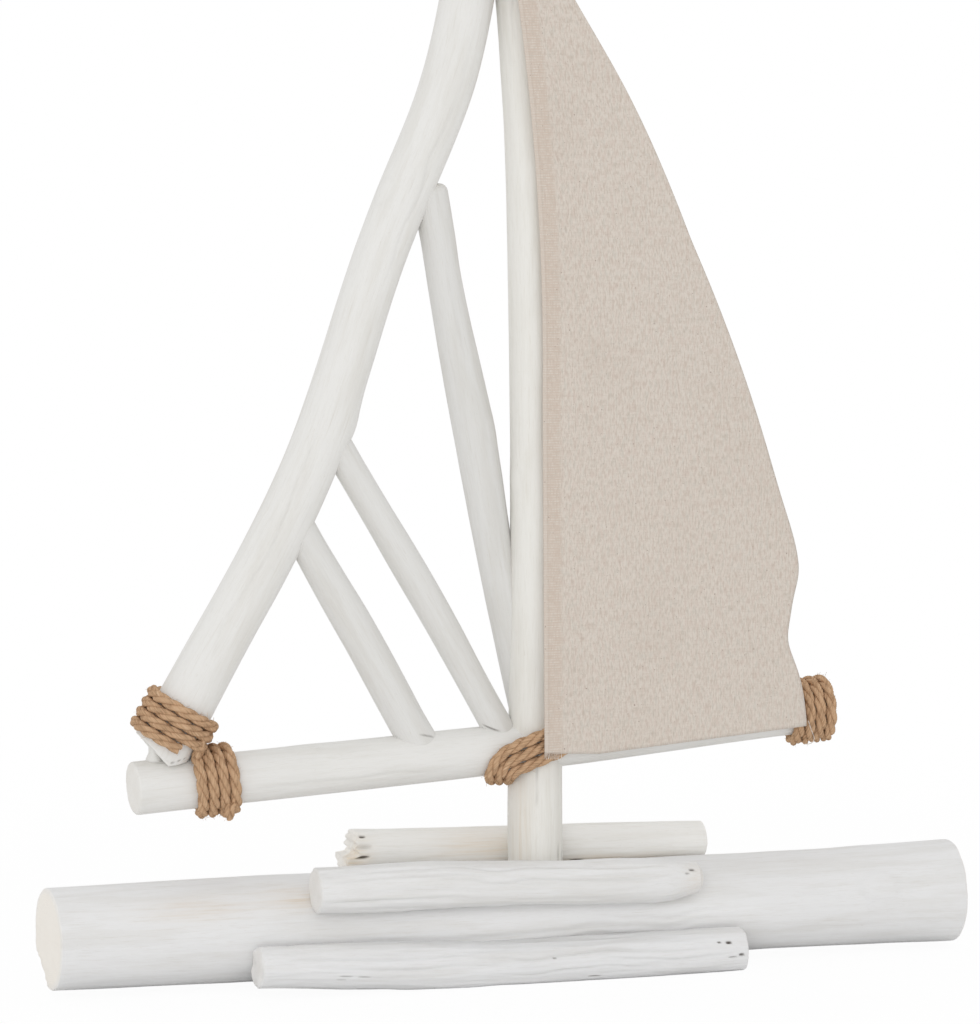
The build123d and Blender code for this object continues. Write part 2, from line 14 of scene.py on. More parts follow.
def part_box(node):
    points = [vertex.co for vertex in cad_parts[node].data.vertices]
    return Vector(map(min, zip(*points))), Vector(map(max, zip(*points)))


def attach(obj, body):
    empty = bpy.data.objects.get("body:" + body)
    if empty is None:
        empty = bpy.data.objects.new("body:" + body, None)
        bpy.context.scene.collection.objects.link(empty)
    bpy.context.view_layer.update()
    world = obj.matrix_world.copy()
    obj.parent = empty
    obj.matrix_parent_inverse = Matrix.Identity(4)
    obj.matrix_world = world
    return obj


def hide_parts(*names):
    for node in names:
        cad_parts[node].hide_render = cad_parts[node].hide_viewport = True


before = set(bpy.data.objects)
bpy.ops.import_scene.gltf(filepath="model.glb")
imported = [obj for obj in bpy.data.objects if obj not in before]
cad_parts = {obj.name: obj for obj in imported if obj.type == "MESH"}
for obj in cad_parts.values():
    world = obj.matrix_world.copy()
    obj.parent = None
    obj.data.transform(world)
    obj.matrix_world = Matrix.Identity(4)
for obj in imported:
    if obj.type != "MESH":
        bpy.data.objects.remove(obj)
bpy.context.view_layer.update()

bl_info = {
    "name": "Driftwood model sailing boat",
    "version": (1, 0, 0),
    "blender": (4, 5, 0),
    "location": "View3D > Sidebar > Driftwood boat",
    "description": "Weathered sticks, rope lashings and linen sail of a driftwood model boat",
    "category": "Object",
}

BODY = "root"
MM = 0.001
FACING = np.array((0.0, -1.0, 0.0))


def srgb(red, green, blue):
    """Linear colour of three sRGB values from 0 to 255."""
    shares = (red / 255, green / 255, blue / 255)
    return tuple(s / 12.92 if s <= 0.04045 else ((s + 0.055) / 1.055) ** 2.4 for s in shares)


def colour_setting(label, words, default):
    return FloatVectorProperty(
        name=label, description=words, subtype="COLOR", size=3, min=0.0, max=1.0, default=default
    )


def length_setting(label, words, millimetres):
    return FloatProperty(
        name=label, description=words, unit="LENGTH", subtype="DISTANCE", min=0.0,
        default=millimetres * MM,
    )


class DriftwoodSettings(bpy.types.PropertyGroup):
    """Whitewashed driftwood: its colours and how rough its surface is."""

    paint: colour_setting("Whitewash", "Thick whitewash", srgb(230, 229, 226))
    wash: colour_setting("Thin wash", "Wood where the whitewash is thin", srgb(222, 220, 215))
    bare: colour_setting("Bare grain", "Fine lines of bare wood", srgb(206, 200, 190))
    stain: colour_setting("Stain", "Tan stains of sap and rust", srgb(214, 190, 156))
    # This colour is also the painted shade in valleys, creases and grooves and where sticks meet.
    crack_and_painted_shade: colour_setting("CrackAndShade", "Inside of cracks and holes", srgb(72, 62, 52))
    end_grain: colour_setting("Cut end", "End grain of the sawn faces", srgb(250, 244, 235))
    wear: length_setting("Worn rim", "Radius of the worn end edges", 1.3)


class RopeSettings(bpy.types.PropertyGroup):
    """Jute rope of the lashings."""

    diameter: length_setting("Diameter", "Outer diameter of the rope", 6.0)
    lay: length_setting("Lay", "Length of one full twist of the strands", 27.0)
    strands: IntProperty(name="Strands", description="Strands in the rope", default=3, min=2)
    fuzz: length_setting("Fuzz", "Length of the loose fibres", 3.2)
    fuzz_count: FloatProperty(
        name="Fuzz density", description="Loose fibres on a square metre of strand", default=30000.0
    )
    dark: colour_setting("Dark fibre", "Jute in the hollows", srgb(156, 122, 92))
    middle: colour_setting("Jute", "Jute between the highlights", srgb(205, 169, 134))
    light: colour_setting("Light fibre", "Bleached jute fibres", srgb(230, 203, 171))


class SailSettings(bpy.types.PropertyGroup):
    """Linen sail."""

    thickness: length_setting("Thickness", "Thickness of the cloth", 0.6)
    gap: length_setting("Gap", "Room between the cloth and what it lies on", 0.5)
    thread: length_setting("Thread", "Distance between two threads of the weave", 0.9)
    selvage: length_setting("Selvage", "Width of the woven edge along the luff", 10.5)
    floats: length_setting("Floats", "Spacing of the woven edge's cross lines", 1.4)
    fold: length_setting("Fold", "Width of the turned edge of the luff", 2.1)
    creases: length_setting("Creases", "Depth of the soft creases", 0.35)
    linen: colour_setting("Linen", "Cloth", srgb(217, 208, 198))
    pink: colour_setting("Warm thread", "Warm threads of the cloth", srgb(205, 189, 178))
    grey: colour_setting("Grey thread", "Grey threads of the cloth", srgb(195, 190, 180))
    shade: colour_setting("Slub", "Darker threads of the cloth", srgb(186, 172, 158))
    selvage_colour: colour_setting("Selvage colour", "Woven edge", srgb(203, 187, 173))
    thread_colour: colour_setting("Loose thread", "Threads at the cut edges", srgb(232, 222, 212))
    fleck: colour_setting("Fleck", "Brown flecks spun into the thread", srgb(128, 102, 90))


class StageSettings(bpy.types.PropertyGroup):
    """Floor, light and camera."""

    floor: colour_setting("Floor", "Floor and backdrop", (0.93, 0.93, 0.93))
    floor_size: FloatProperty(
        name="Floor size", description="Side of the floor", default=14.0, unit="LENGTH"
    )
    sky: FloatProperty(name="Sky", description="Strength of the even light from all sides", default=0.88)
    key: FloatProperty(name="Key", description="Power of the soft light", default=11.0, unit="POWER")
    lens: FloatProperty(name="Lens", description="Focal length in millimetres", default=153.4)


def unit(vector):
    return vector / np.linalg.norm(vector, axis=-1, keepdims=True)


HASH = np.array((374761393, 668265263, 1440662683))
HASH_MIX = 1274126177
LOW_32 = 0xFFFFFFFF
LOW_16 = 0xFFFF


def lattice_noise(points, seed):
    """Smooth noise from -1 to 1 at each point, between random values on a unit lattice."""
    cell = np.floor(points).astype(np.int64)
    part = points - cell
    fade = part * part * (3 - 2 * part)
    total = np.zeros(points.shape[:-1])
    for corner in product((0, 1), repeat=3):
        mixed = ((cell + corner) @ HASH + seed * HASH_MIX) & LOW_32
        mixed = ((mixed ^ (mixed >> 13)) * HASH_MIX) & LOW_32
        value = ((mixed ^ (mixed >> 16)) & LOW_16) / (LOW_16 / 2) - 1
        weight = np.prod(np.where(corner, fade, 1 - fade), axis=-1)
        total += value * weight
    return total


# A layer of noise drawn out along a stick: sizes of its features in mm, its weight and its seed,
# which adds to the stick's own.
Grain = namedtuple("Grain", "across along weight seed")
LUMPS = (Grain(17.0, 48.0, 1.0, 0), Grain(8.0, 26.0, 0.5, 1))
RIDGES = (Grain(3.6, 42.0, 1.0, 2), Grain(2.0, 24.0, 0.6, 3))
FINE_GRAIN = (Grain(1.1, 17.0, 1.0, 4),)
SAWN = (Grain(1.6, 5.0, 0.1, 5), Grain(9.0, 9.0, 0.3, 6))
SWAY = (Grain(1.0, 21.0, 2.2, 7),)
BROKEN = (Grain(4.0, 4.0, 0.5, 8),)


def grain_noise(straight, layers, seed):
    """Sum of some layers of noise at points of a straight stick."""
    total = 0
    for layer in layers:
        sizes = np.array((layer.across, layer.across, layer.along)) * MM
        total = total + layer.weight * lattice_noise(straight / sizes, seed + layer.seed)
    return total


def node_arrays(node):
    """Points and edges of a CAD node's mesh as arrays."""
    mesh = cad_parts[node].data
    points = np.empty(len(mesh.vertices) * 3)
    edges = np.empty(len(mesh.edges) * 2, dtype=np.int32)
    mesh.vertices.foreach_get("co", points)
    mesh.edges.foreach_get("vertices", edges)
    return points.reshape(-1, 3), edges.reshape(-1, 2)


def node_surface(node):
    """Search tree of a CAD node's faces, for the rays that measure it."""
    faces = [tuple(face.vertices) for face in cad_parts[node].data.polygons]
    return BVHTree.FromPolygons(node_arrays(node)[0].tolist(), faces)


def section_points(points, edges, normal, station):
    """Points where a mesh's edges cross the plane at this distance along its normal."""
    height = points @ normal
    first, second = height[edges[:, 0]], height[edges[:, 1]]
    cut = (first < station) != (second < station)
    share = (station - first[cut]) / (second[cut] - first[cut])
    start = points[edges[cut, 0]]
    return start + (points[edges[cut, 1]] - start) * share[:, None]


FIT_TOLERANCE = 0.5 * MM
FIT_ROUNDS = 6
FIT_LEAST = 12
FIT_WIDEST_GAP = radians(150)


def fit_circle(u, v):
    """Centre and radius of the circle that most points lie on, or None on a cut-away section."""
    kept = np.ones(len(u), bool)
    for _ in range(FIT_ROUNDS):
        if kept.sum() < FIT_LEAST:
            return None
        terms = np.column_stack((2 * u[kept], 2 * v[kept], np.ones(kept.sum())))
        a, b, c = np.linalg.lstsq(terms, u[kept] ** 2 + v[kept] ** 2, rcond=None)[0]
        radius = sqrt(max(c + a * a + b * b, 0))
        off = np.abs(np.hypot(u - a, v - b) - radius)
        kept = off < max(FIT_TOLERANCE, 2 * np.median(off))
    if kept.sum() < FIT_LEAST:
        return None
    turns = np.sort(np.arctan2(v[kept] - b, u[kept] - a))
    gap = max(np.diff(turns).max(), 2 * pi - (turns[-1] - turns[0]))
    return None if gap > FIT_WIDEST_GAP else (a, b, radius)


class StickAxis:
    """Centre line and radius of a CAD stick, measured on sections of its mesh.

    front looks towards the photograph's side and side is square to it: down on a lying
    stick, aft on an upright one.
    """

    SECTIONS = 72
    # Sections whose radius is farther than this share from the middle one are left out.
    RADIUS_SPREAD = 0.4
    # A jump of the radius ends the stick only in the first or last of this many parts.
    JUMP = 1.0 * MM
    END_PARTS = 8
    # Sections that carry the line on past its ends, and the reach that gives its direction.
    SLOPE_SECTIONS = 8
    SLOPE_REACH = 4 * MM
    SEARCH_POINTS = 600
    NO_STICK = 1.0

    def __init__(self, node):
        points, edges = node_arrays(node)
        spread = points - (points.min(axis=0) + points.max(axis=0)) / 2
        run = np.linalg.svd(spread, full_matrices=False)[2][0]
        self.run = run * np.sign(run[np.argmax(np.abs(run))])
        self.front = unit(FACING - self.run * (FACING @ self.run))
        self.side = np.cross(self.run, self.front)
        along = points @ self.run
        self.low, self.high = along.min(), along.max()
        rows = []
        for station in np.linspace(self.low, self.high, self.SECTIONS + 2)[1:-1]:
            ring = section_points(points, edges, self.run, station)
            fit = fit_circle(ring @ self.front, ring @ self.side)
            if fit:
                rows.append((station, *fit))
        rows = np.array(rows)
        rows = rows[np.abs(rows[:, 3] / np.median(rows[:, 3]) - 1) < self.RADIUS_SPREAD]
        jumps = np.nonzero(np.abs(np.diff(rows[:, 3])) > self.JUMP)[0] + 1
        near = len(rows) // self.END_PARTS
        first = max((jump for jump in jumps if jump <= near), default=0)
        last = min((jump for jump in jumps if jump >= len(rows) - near), default=len(rows))
        self.rows = rows[first:last]
        self.middle_radius = np.median(self.rows[:, 3])
        self.surface = node_surface(node)

    def _read(self, stations, column, straight_on):
        """One measured column at places along the stick, carried on past the first and last."""
        places, values = self.rows[:, 0], self.rows[:, column]
        found = np.interp(stations, places, values)
        if straight_on:
            reach = min(self.SLOPE_SECTIONS, len(places) - 1)
            fore = (values[reach] - values[0]) / (places[reach] - places[0])
            aft = (values[-1] - values[-1 - reach]) / (places[-1] - places[-1 - reach])
            found = np.where(stations < places[0], values[0] + fore * (stations - places[0]), found)
            found = np.where(stations > places[-1], values[-1] + aft * (stations - places[-1]), found)
        return found

    def centre(self, stations):
        stations = np.asarray(stations, float)
        return (
            stations[..., None] * self.run
            + self._read(stations, 1, True)[..., None] * self.front
            + self._read(stations, 2, True)[..., None] * self.side
        )

    def radius(self, stations):
        return self._read(np.asarray(stations, float), 3, False)

    def directions(self, stations):
        """Run, front and side directions at places along the stick."""
        stations = np.asarray(stations, float)
        run = unit(self.centre(stations + self.SLOPE_REACH) - self.centre(stations - self.SLOPE_REACH))
        front = unit(self.front - run * (run @ self.front)[..., None])
        return run, front, np.cross(run, front)

    def station_at(self, value, coordinate):
        """Place along the stick where its centre line has this X (0) or Z (2)."""
        stations = np.linspace(self.low, self.high, self.SEARCH_POINTS)
        return float(np.interp(value, self.centre(stations)[:, coordinate], stations))

    def front_surface(self, x, z):
        """Y of the stick's near surface at points of the frame's plane, or NO_STICK beside it."""
        points = np.stack((x, np.zeros_like(x), z), axis=-1)
        stations = points @ self.run
        centre = self.centre(stations)
        points[..., 1] = centre[..., 1]
        away = (points - centre) @ self.side
        radius = self.radius(stations)
        inside = np.clip(radius**2 - away**2, 0, None)
        on = (np.abs(away) < radius) & (stations > self.low) & (stations < self.high)
        return np.where(on, centre[..., 1] - np.sqrt(inside), self.NO_STICK)


class Wire:
    """An output socket of a node; arithmetic on it adds Math nodes to the same tree."""

    def __init__(self, socket):
        self.socket = socket

    def node(self, kind, settings=None, inputs=None, output=0):
        return add_node(self.socket.id_data, kind, settings, inputs, output)

    def other(self, output):
        """Another output of the same node."""
        return Wire(self.socket.node.outputs[output])

    def maths(self, operation, *terms):
        return self.node("ShaderNodeMath", {"operation": operation}, dict(enumerate(terms)))

    def __add__(self, other):
        return self.maths("ADD", self, other)

    __radd__ = __add__

    def __sub__(self, other):
        return self.maths("SUBTRACT", self, other)

    def __rsub__(self, other):
        return self.maths("SUBTRACT", other, self)

    def __mul__(self, other):
        return self.maths("MULTIPLY", self, other)

    __rmul__ = __mul__

    def __truediv__(self, other):
        return self.maths("DIVIDE", self, other)

    def sine(self):
        return self.maths("SINE", self)

    def cosine(self):
        return self.maths("COSINE", self)

    def step(self, low, high):
        """Smooth step from 0 at low to 1 at high."""
        return self.node(
            "ShaderNodeMapRange",
            {"interpolation_type": "SMOOTHSTEP"},
            {"Value": self, "From Min": low, "From Max": high, "To Min": 0.0, "To Max": 1.0},
        )

    def wave(self, length):
        """Sine wave from 0 to 1 of this length."""
        return (self * (2 * pi / length)).sine() * 0.5 + 0.5

    def vector_maths(self, operation, inputs=None, output=0):
        settings = {"operation": operation}
        return self.node("ShaderNodeVectorMath", settings, {0: self, **(inputs or {})}, output)

    def times(self, other):
        """A vector or colour with each of its three values multiplied by another's."""
        return self.vector_maths("MULTIPLY", {1: other})

    def scaled(self, factor):
        return self.vector_maths("SCALE", {"Scale": factor})

    def length(self):
        return self.vector_maths("LENGTH", output="Value")


def add_node(tree, kind, settings=None, inputs=None, output=0):
    """Add a node, set its settings and then its sockets, and give one of its outputs."""
    node = tree.nodes.new(kind)
    for name, value in (settings or {}).items():
        setattr(node, name, value)
    for name, value in (inputs or {}).items():
        if isinstance(value, Wire):
            tree.links.new(value.socket, node.inputs[name])
        else:
            node.inputs[name].default_value = value
    return Wire(node.outputs[output])


def mix_colours(factor, first, second):
    """Colour between two colours; each is a wire or three linear values."""
    sides = [c if isinstance(c, Wire) else (*c, 1.0) for c in (first, second)]
    return factor.node(
        "ShaderNodeMix", {"data_type": "RGBA"}, {0: factor, 6: sides[0], 7: sides[1]}, output=2
    )


def layered(colour, *coats):
    """A colour with coats over it in order, each a share and a colour."""
    for share, coat in coats:
        colour = mix_colours(share, colour, coat)
    return colour


NOISE_ROUGHNESS = 0.55
SPECULAR = 0.25


def speckle(vector, detail, roughness=NOISE_ROUGHNESS):
    return vector.node(
        "ShaderNodeTexNoise", None,
        {"Vector": vector, "Scale": 1.0, "Detail": detail, "Roughness": roughness},
    )


def drawn_out(place, sizes, detail, roughness=NOISE_ROUGHNESS):
    """Noise whose features have these sizes in mm on each axis; a size of 0 leaves the axis out."""
    shares = tuple(1 / (size * MM) if size else 0.0 for size in sizes)
    return speckle(place.times(shares), detail, roughness)


def new_material(name):
    """A material with an empty tree, its surface node and its output."""
    material = bpy.data.materials.new(name)
    material.use_nodes = True
    tree = material.node_tree
    tree.nodes.clear()
    surface = tree.nodes.new("ShaderNodeBsdfPrincipled")
    output = tree.nodes.new("ShaderNodeOutputMaterial")
    tree.links.new(surface.outputs["BSDF"], output.inputs["Surface"])
    return material, tree, surface


def finish_surface(tree, surface, colour, roughness, height, strength, distance):
    """Link a colour, a roughness and a bump height to a surface."""
    bump = add_node(
        tree, "ShaderNodeBump", None, {"Height": height, "Strength": strength, "Distance": distance}
    )
    tree.links.new(colour.socket, surface.inputs["Base Color"])
    tree.links.new(roughness.socket, surface.inputs["Roughness"])
    tree.links.new(bump.socket, surface.inputs["Normal"])
    surface.inputs["Specular IOR Level"].default_value = SPECULAR


def read_attribute(tree, name, output="Fac"):
    return add_node(tree, "ShaderNodeAttribute", {"attribute_name": name}, output=output)


WOOD = "whitewashed_driftwood"
RING_GAP = 1.15 * MM
RING_WAVER = 2.2


def driftwood_material(wood):
    """Whitewash worn off along the grain, with stains, dark cracks, painted shade, painted light and
    ringed cut ends.
    """
    material, tree, surface = new_material(WOOD)
    place = read_attribute(tree, "straight", "Vector")
    tone = read_attribute(tree, "tone", "Vector")
    crack_dark_and_painted_shade = read_attribute(tree, "crack_dark_and_painted_shade")
    stain = read_attribute(tree, "stain")
    end = read_attribute(tree, "end")

    def grain(across, along, detail):
        return drawn_out(place, (across, across, along), detail)

    patches = grain(across=9.0, along=70.0, detail=3.0)
    streaks = grain(across=1.5, along=34.0, detail=4.0)
    fibres = grain(across=0.55, along=13.0, detail=3.0)
    hairs = grain(across=0.4, along=9.0, detail=2.0)
    flecks = grain(across=0.8, along=4.0, detail=2.0)
    waver = grain(across=6.0, along=60.0, detail=2.0)
    rings = (place.times((1.0, 1.0, 0.0)).length() / RING_GAP + waver * RING_WAVER).wave(1.0)

    thin = patches.step(0.44, 0.66) * 0.62 + streaks.step(0.5, 0.72) * 0.28
    lines = streaks.step(0.56, 0.72) * fibres.step(0.45, 0.7)
    sap = stain * (patches.step(0.3, 0.6) * 0.5 + 0.5) * (streaks.step(0.35, 0.7) * 0.6 + 0.4)
    cut_face = mix_colours(rings * 0.35, wood.end_grain, wood.wash)
    washed = layered(
        wood.paint,
        (thin, wood.wash),
        (lines * 0.32, wood.bare),
        (hairs.step(0.56, 0.7) * 0.2, wood.bare),
        (flecks.step(0.69, 0.76) * 0.28, wood.bare),
        (sap, wood.stain),
        (end * 0.8, cut_face),
    )
    # Painted light and shade: the tone lightens or darkens the wood, and the crack colour paints shade in
    # valleys, creases, grooves and where sticks meet, besides the dark of cracks and holes.
    colour = mix_colours(crack_dark_and_painted_shade, washed.times(tone), wood.crack_and_painted_shade)

    roughness = 0.74 + streaks * 0.2
    height = streaks * 0.5 + fibres * 0.4 + hairs * 0.3 + end * rings * 0.3
    finish_surface(tree, surface, colour, roughness, height, strength=0.55, distance=0.5 * MM)
    return material


# Fibre lines of a strand: how many lie round it, how far along it they slant by one line, how long
# they are and how far the pattern moves from one strand to the next.
FIBRES_ROUND = 9.0
FIBRE_SLANT = 7.0 * MM
FIBRE_LENGTH = 9.0 * MM
STRAND_SHIFT = 7.0


def rope_material(rope):
    """Twisted jute: fibre lines along each strand, dark between them."""
    material, tree, surface = new_material("jute_rope")
    along = read_attribute(tree, "along")
    around = read_attribute(tree, "around")
    strand = read_attribute(tree, "strand")
    round_strand = around * FIBRES_ROUND + along / FIBRE_SLANT
    turned = around.node(
        "ShaderNodeCombineXYZ", None, {0: round_strand, 1: along / FIBRE_LENGTH, 2: strand * STRAND_SHIFT}
    )
    fibres = speckle(turned, detail=4.0, roughness=0.65)
    blotches = speckle(turned.times((0.25, 0.6, 1.0)), detail=2.0)
    colour = layered(
        rope.dark,
        (fibres.step(0.3, 0.55), rope.middle),
        (fibres.step(0.55, 0.75) * 0.8, rope.light),
        (blotches.step(0.5, 0.75) * 0.35, rope.dark),
    )
    roughness = 0.8 + fibres * 0.15
    finish_surface(tree, surface, colour, roughness, fibres, strength=0.8, distance=0.5 * MM)
    return material


def linen_material(sail):
    """Plain-woven linen with slubs, flecks and a denser edge along the luff."""
    material, tree, surface = new_material("linen_cloth")
    cloth = add_node(tree, "ShaderNodeUVMap", {"uv_map": "cloth"})
    across = cloth.node("ShaderNodeSeparateXYZ", None, {0: cloth})
    up = across.other(1)

    def yarns(wide, tall, detail, roughness=NOISE_ROUGHNESS):
        return drawn_out(cloth, (wide, tall, 0), detail, roughness)

    warp = yarns(wide=0.9, tall=8, detail=3.0)
    weft = yarns(wide=6, tall=0.9, detail=3.0)
    tint = yarns(wide=1.7, tall=6, detail=3.0)
    nubs = yarns(wide=0.9, tall=3.4, detail=2.0, roughness=0.7)
    dirt = yarns(wide=45, tall=60, detail=3.0)
    flecks = yarns(wide=1.3, tall=1.5, detail=1.0)
    turn = 2 * pi / sail.thread
    weave = (across * turn).sine() * (up * turn).sine() * 0.5 + 0.5
    floats = weft.step(0.42, 0.56) * 0.35 + 0.65 * up.wave(sail.floats)
    edge = 1.0 - across.step(sail.selvage * 0.8, sail.selvage * 1.1)
    fold = 1.0 - across.step(sail.fold * 0.9, sail.fold)
    seam = across.step(sail.fold * 0.95, sail.fold) - across.step(sail.fold * 1.2, sail.fold * 1.5)

    colour = layered(
        sail.linen,
        (tint.step(0.46, 0.68) * 0.6, sail.pink),
        (tint.step(0.5, 0.32) * 0.45, sail.grey),
        (warp.step(0.5, 0.72) * 0.38, sail.shade),
        (weft.step(0.5, 0.74) * 0.30, sail.shade),
        (nubs.step(0.42, 0.68) * 0.5, sail.shade),
        (dirt.step(0.45, 0.8) * 0.15, sail.shade),
        (edge * floats, sail.selvage_colour),
        (fold * 0.3, sail.linen),
        (seam * 0.2, sail.shade),
        (flecks.step(0.735, 0.765) * 0.6, sail.fleck),
    )
    roughness = 0.86 + weft * 0.1
    height = weave * 0.35 + warp * 0.35 + weft * 0.3
    finish_surface(tree, surface, colour, roughness, height, strength=0.5, distance=0.4 * MM)
    surface.inputs["Sheen Weight"].default_value = 0.12
    return material


def thread_material(sail):
    """Loose linen threads, spun unevenly."""
    material, tree, surface = new_material("linen_thread")
    place = add_node(tree, "ShaderNodeTexCoord", output="Object")
    spun = drawn_out(place, (0.5, 0.5, 1.6), detail=3.0)
    colour = mix_colours(spun.step(0.42, 0.66), sail.thread_colour, sail.shade)
    roughness = 0.85 + spun * 0.1
    finish_surface(tree, surface, colour, roughness, spun, strength=0.6, distance=0.2 * MM)
    return material


def link_object(name, data):
    """A new object of the scene."""
    made = bpy.data.objects.new(name, data)
    bpy.context.scene.collection.objects.link(made)
    return made


def mesh_object(name, points, faces, values, material):
    """A piece from arrays of points and faces, with point values by name."""
    mesh = bpy.data.meshes.new(name)
    mesh.from_pydata(points.tolist(), [], [tuple(face) for face in faces])
    for label, value in values.items():
        kind, field = ("FLOAT_VECTOR", "vector") if value.ndim == 2 else ("FLOAT", "value")
        attribute = mesh.attributes.new(label, kind, "POINT")
        attribute.data.foreach_set(field, value.ravel().astype(np.float32))
    mesh.materials.append(material)
    mesh.shade_smooth()
    mesh.update()
    return link_object(name, mesh)


def place_piece(piece, node):
    """Fix a finished piece to the boat in the place of its CAD node."""
    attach(piece, BODY)
    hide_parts(node)


def grid_faces(rows, columns):
    """Quads of a tube of rings, and the two fans that close it at its first and last point."""
    ring = np.arange(columns)
    after = np.roll(ring, -1)
    quads = []
    for row in range(rows - 1):
        low, high = 1 + row * columns, 1 + (row + 1) * columns
        quads.append(np.stack((low + ring, high + ring, high + after, low + after), axis=1))
    last = 1 + (rows - 1) * columns
    start_fan = np.stack((np.zeros_like(ring), 1 + ring, 1 + after), axis=1)
    end_fan = np.stack((np.full_like(ring, last + columns), last + after, last + ring), axis=1)
    return [*np.concatenate(quads).tolist(), *start_fan.tolist(), *end_fan.tolist()]


def smoothstep(value, low, high):
    share = np.clip((value - low) / (high - low), 0, 1)
    return share * share * (3 - 2 * share)


# A stick's surface: mm between points round it and along it, how deep its lumps, ridges and fine
# grain are in mm, and whether its first end, fore or lower, and its last show. Splinter is how far
# a broken first end goes in. Slant turns the first face towards the photograph's side by some
# degrees, trim shortens the two ends and bend sets the last end aside in mm, and its tone scales the
# colour as painted light on sticks that lie in shade and as painted shade on the struts. Step is
# the share of the CAD end's relief that shows, raw how bare the cut ends are, worn how round their
# rims and cool how much bluer the whitewash is.
Stick = namedtuple(
    "Stick",
    "node seed around along lumps ridges grain shows splinter slant trim bend tone step raw worn cool",
    defaults=((True, True), 0.0, 0.0, (0.0, 0.0), 0.0, 1.0, 1.0, 0.35, 1.0, 0.0),
)
NO_ENDS = (False, False)
# Tones above 1 are painted light on sticks that lie in shade; the struts' tones below 1 are painted
# shade.
HULL_STICKS = (
    Stick("hull_log", 11, 1.1, 1.9, 0.40, 0.10, 0.06, tone=1.015, raw=1.0, cool=0.035),
    Stick(
        "stick_upper_near", 23, 0.5, 0.9, 0.62, 0.42, 0.18,
        slant=7.6, trim=(1.0, 2.0), tone=1.01, cool=0.03,
    ),
    Stick(
        "stick_upper_far", 37, 0.5, 0.9, 0.30, 0.14, 0.08,
        splinter=2.0, trim=(2.0, 0.5), tone=1.13, step=0.62,
    ),
    Stick(
        "stick_lower_near", 41, 0.5, 0.9, 0.62, 0.46, 0.20,
        splinter=1.2, slant=7.6, trim=(1.6, 3.0), tone=1.015, cool=0.04,
    ),
    Stick("stick_lower_far", 53, 0.8, 1.4, 0.62, 0.46, 0.20, splinter=1.2),
)
FRAME_STICKS = (
    Stick("mast", 61, 0.9, 1.9, 0.30, 0.08, 0.06, (False, True), tone=1.035, cool=-0.025),
    Stick("boom", 67, 0.9, 1.9, 0.30, 0.08, 0.06, slant=6.0),
    Stick("spar", 71, 0.9, 1.2, 0.32, 0.09, 0.06, tone=1.01),
)
BRACE_STICKS = (
    Stick(
        "strut_long", 83, 0.8, 1.8, 0.28, 0.10, 0.06, NO_ENDS,
        trim=(0.0, 13.6), bend=-2.2, tone=0.925, worn=3.4,
    ),
    Stick("strut_middle", 89, 0.6, 0.6, 0.24, 0.09, 0.06, NO_ENDS, tone=0.94),
    Stick("strut_short", 97, 0.6, 0.6, 0.24, 0.09, 0.06, NO_ENDS, tone=0.94),
    Stick("spar_peg", 103, 0.5, 0.5, 0.15, 0.10, 0.06, NO_ENDS),
)
AXES = {s.node: StickAxis(s.node) for s in (*HULL_STICKS, *FRAME_STICKS, *BRACE_STICKS)}

# Marks on each stick: along is mm from its first end, angle is degrees round it from the
# photograph's side, towards the floor on a lying stick and aft on an upright one.
Knot = namedtuple("Knot", "along angle height width")
KNOTS = {
    "hull_log": (Knot(470.0, -20.0, 1.6, 13.0), Knot(150.0, -50.0, 0.9, 10.0)),
    "spar": (Knot(205.0, 80.0, 1.8, 11.0), Knot(330.0, -60.0, 1.0, 9.0)),
    "strut_long": (Knot(160.0, 40.0, 1.1, 9.0),),
    "boom": (Knot(95.0, -60.0, 0.8, 9.0),),
    "mast": (Knot(240.0, -70.0, 0.8, 9.0),),
}
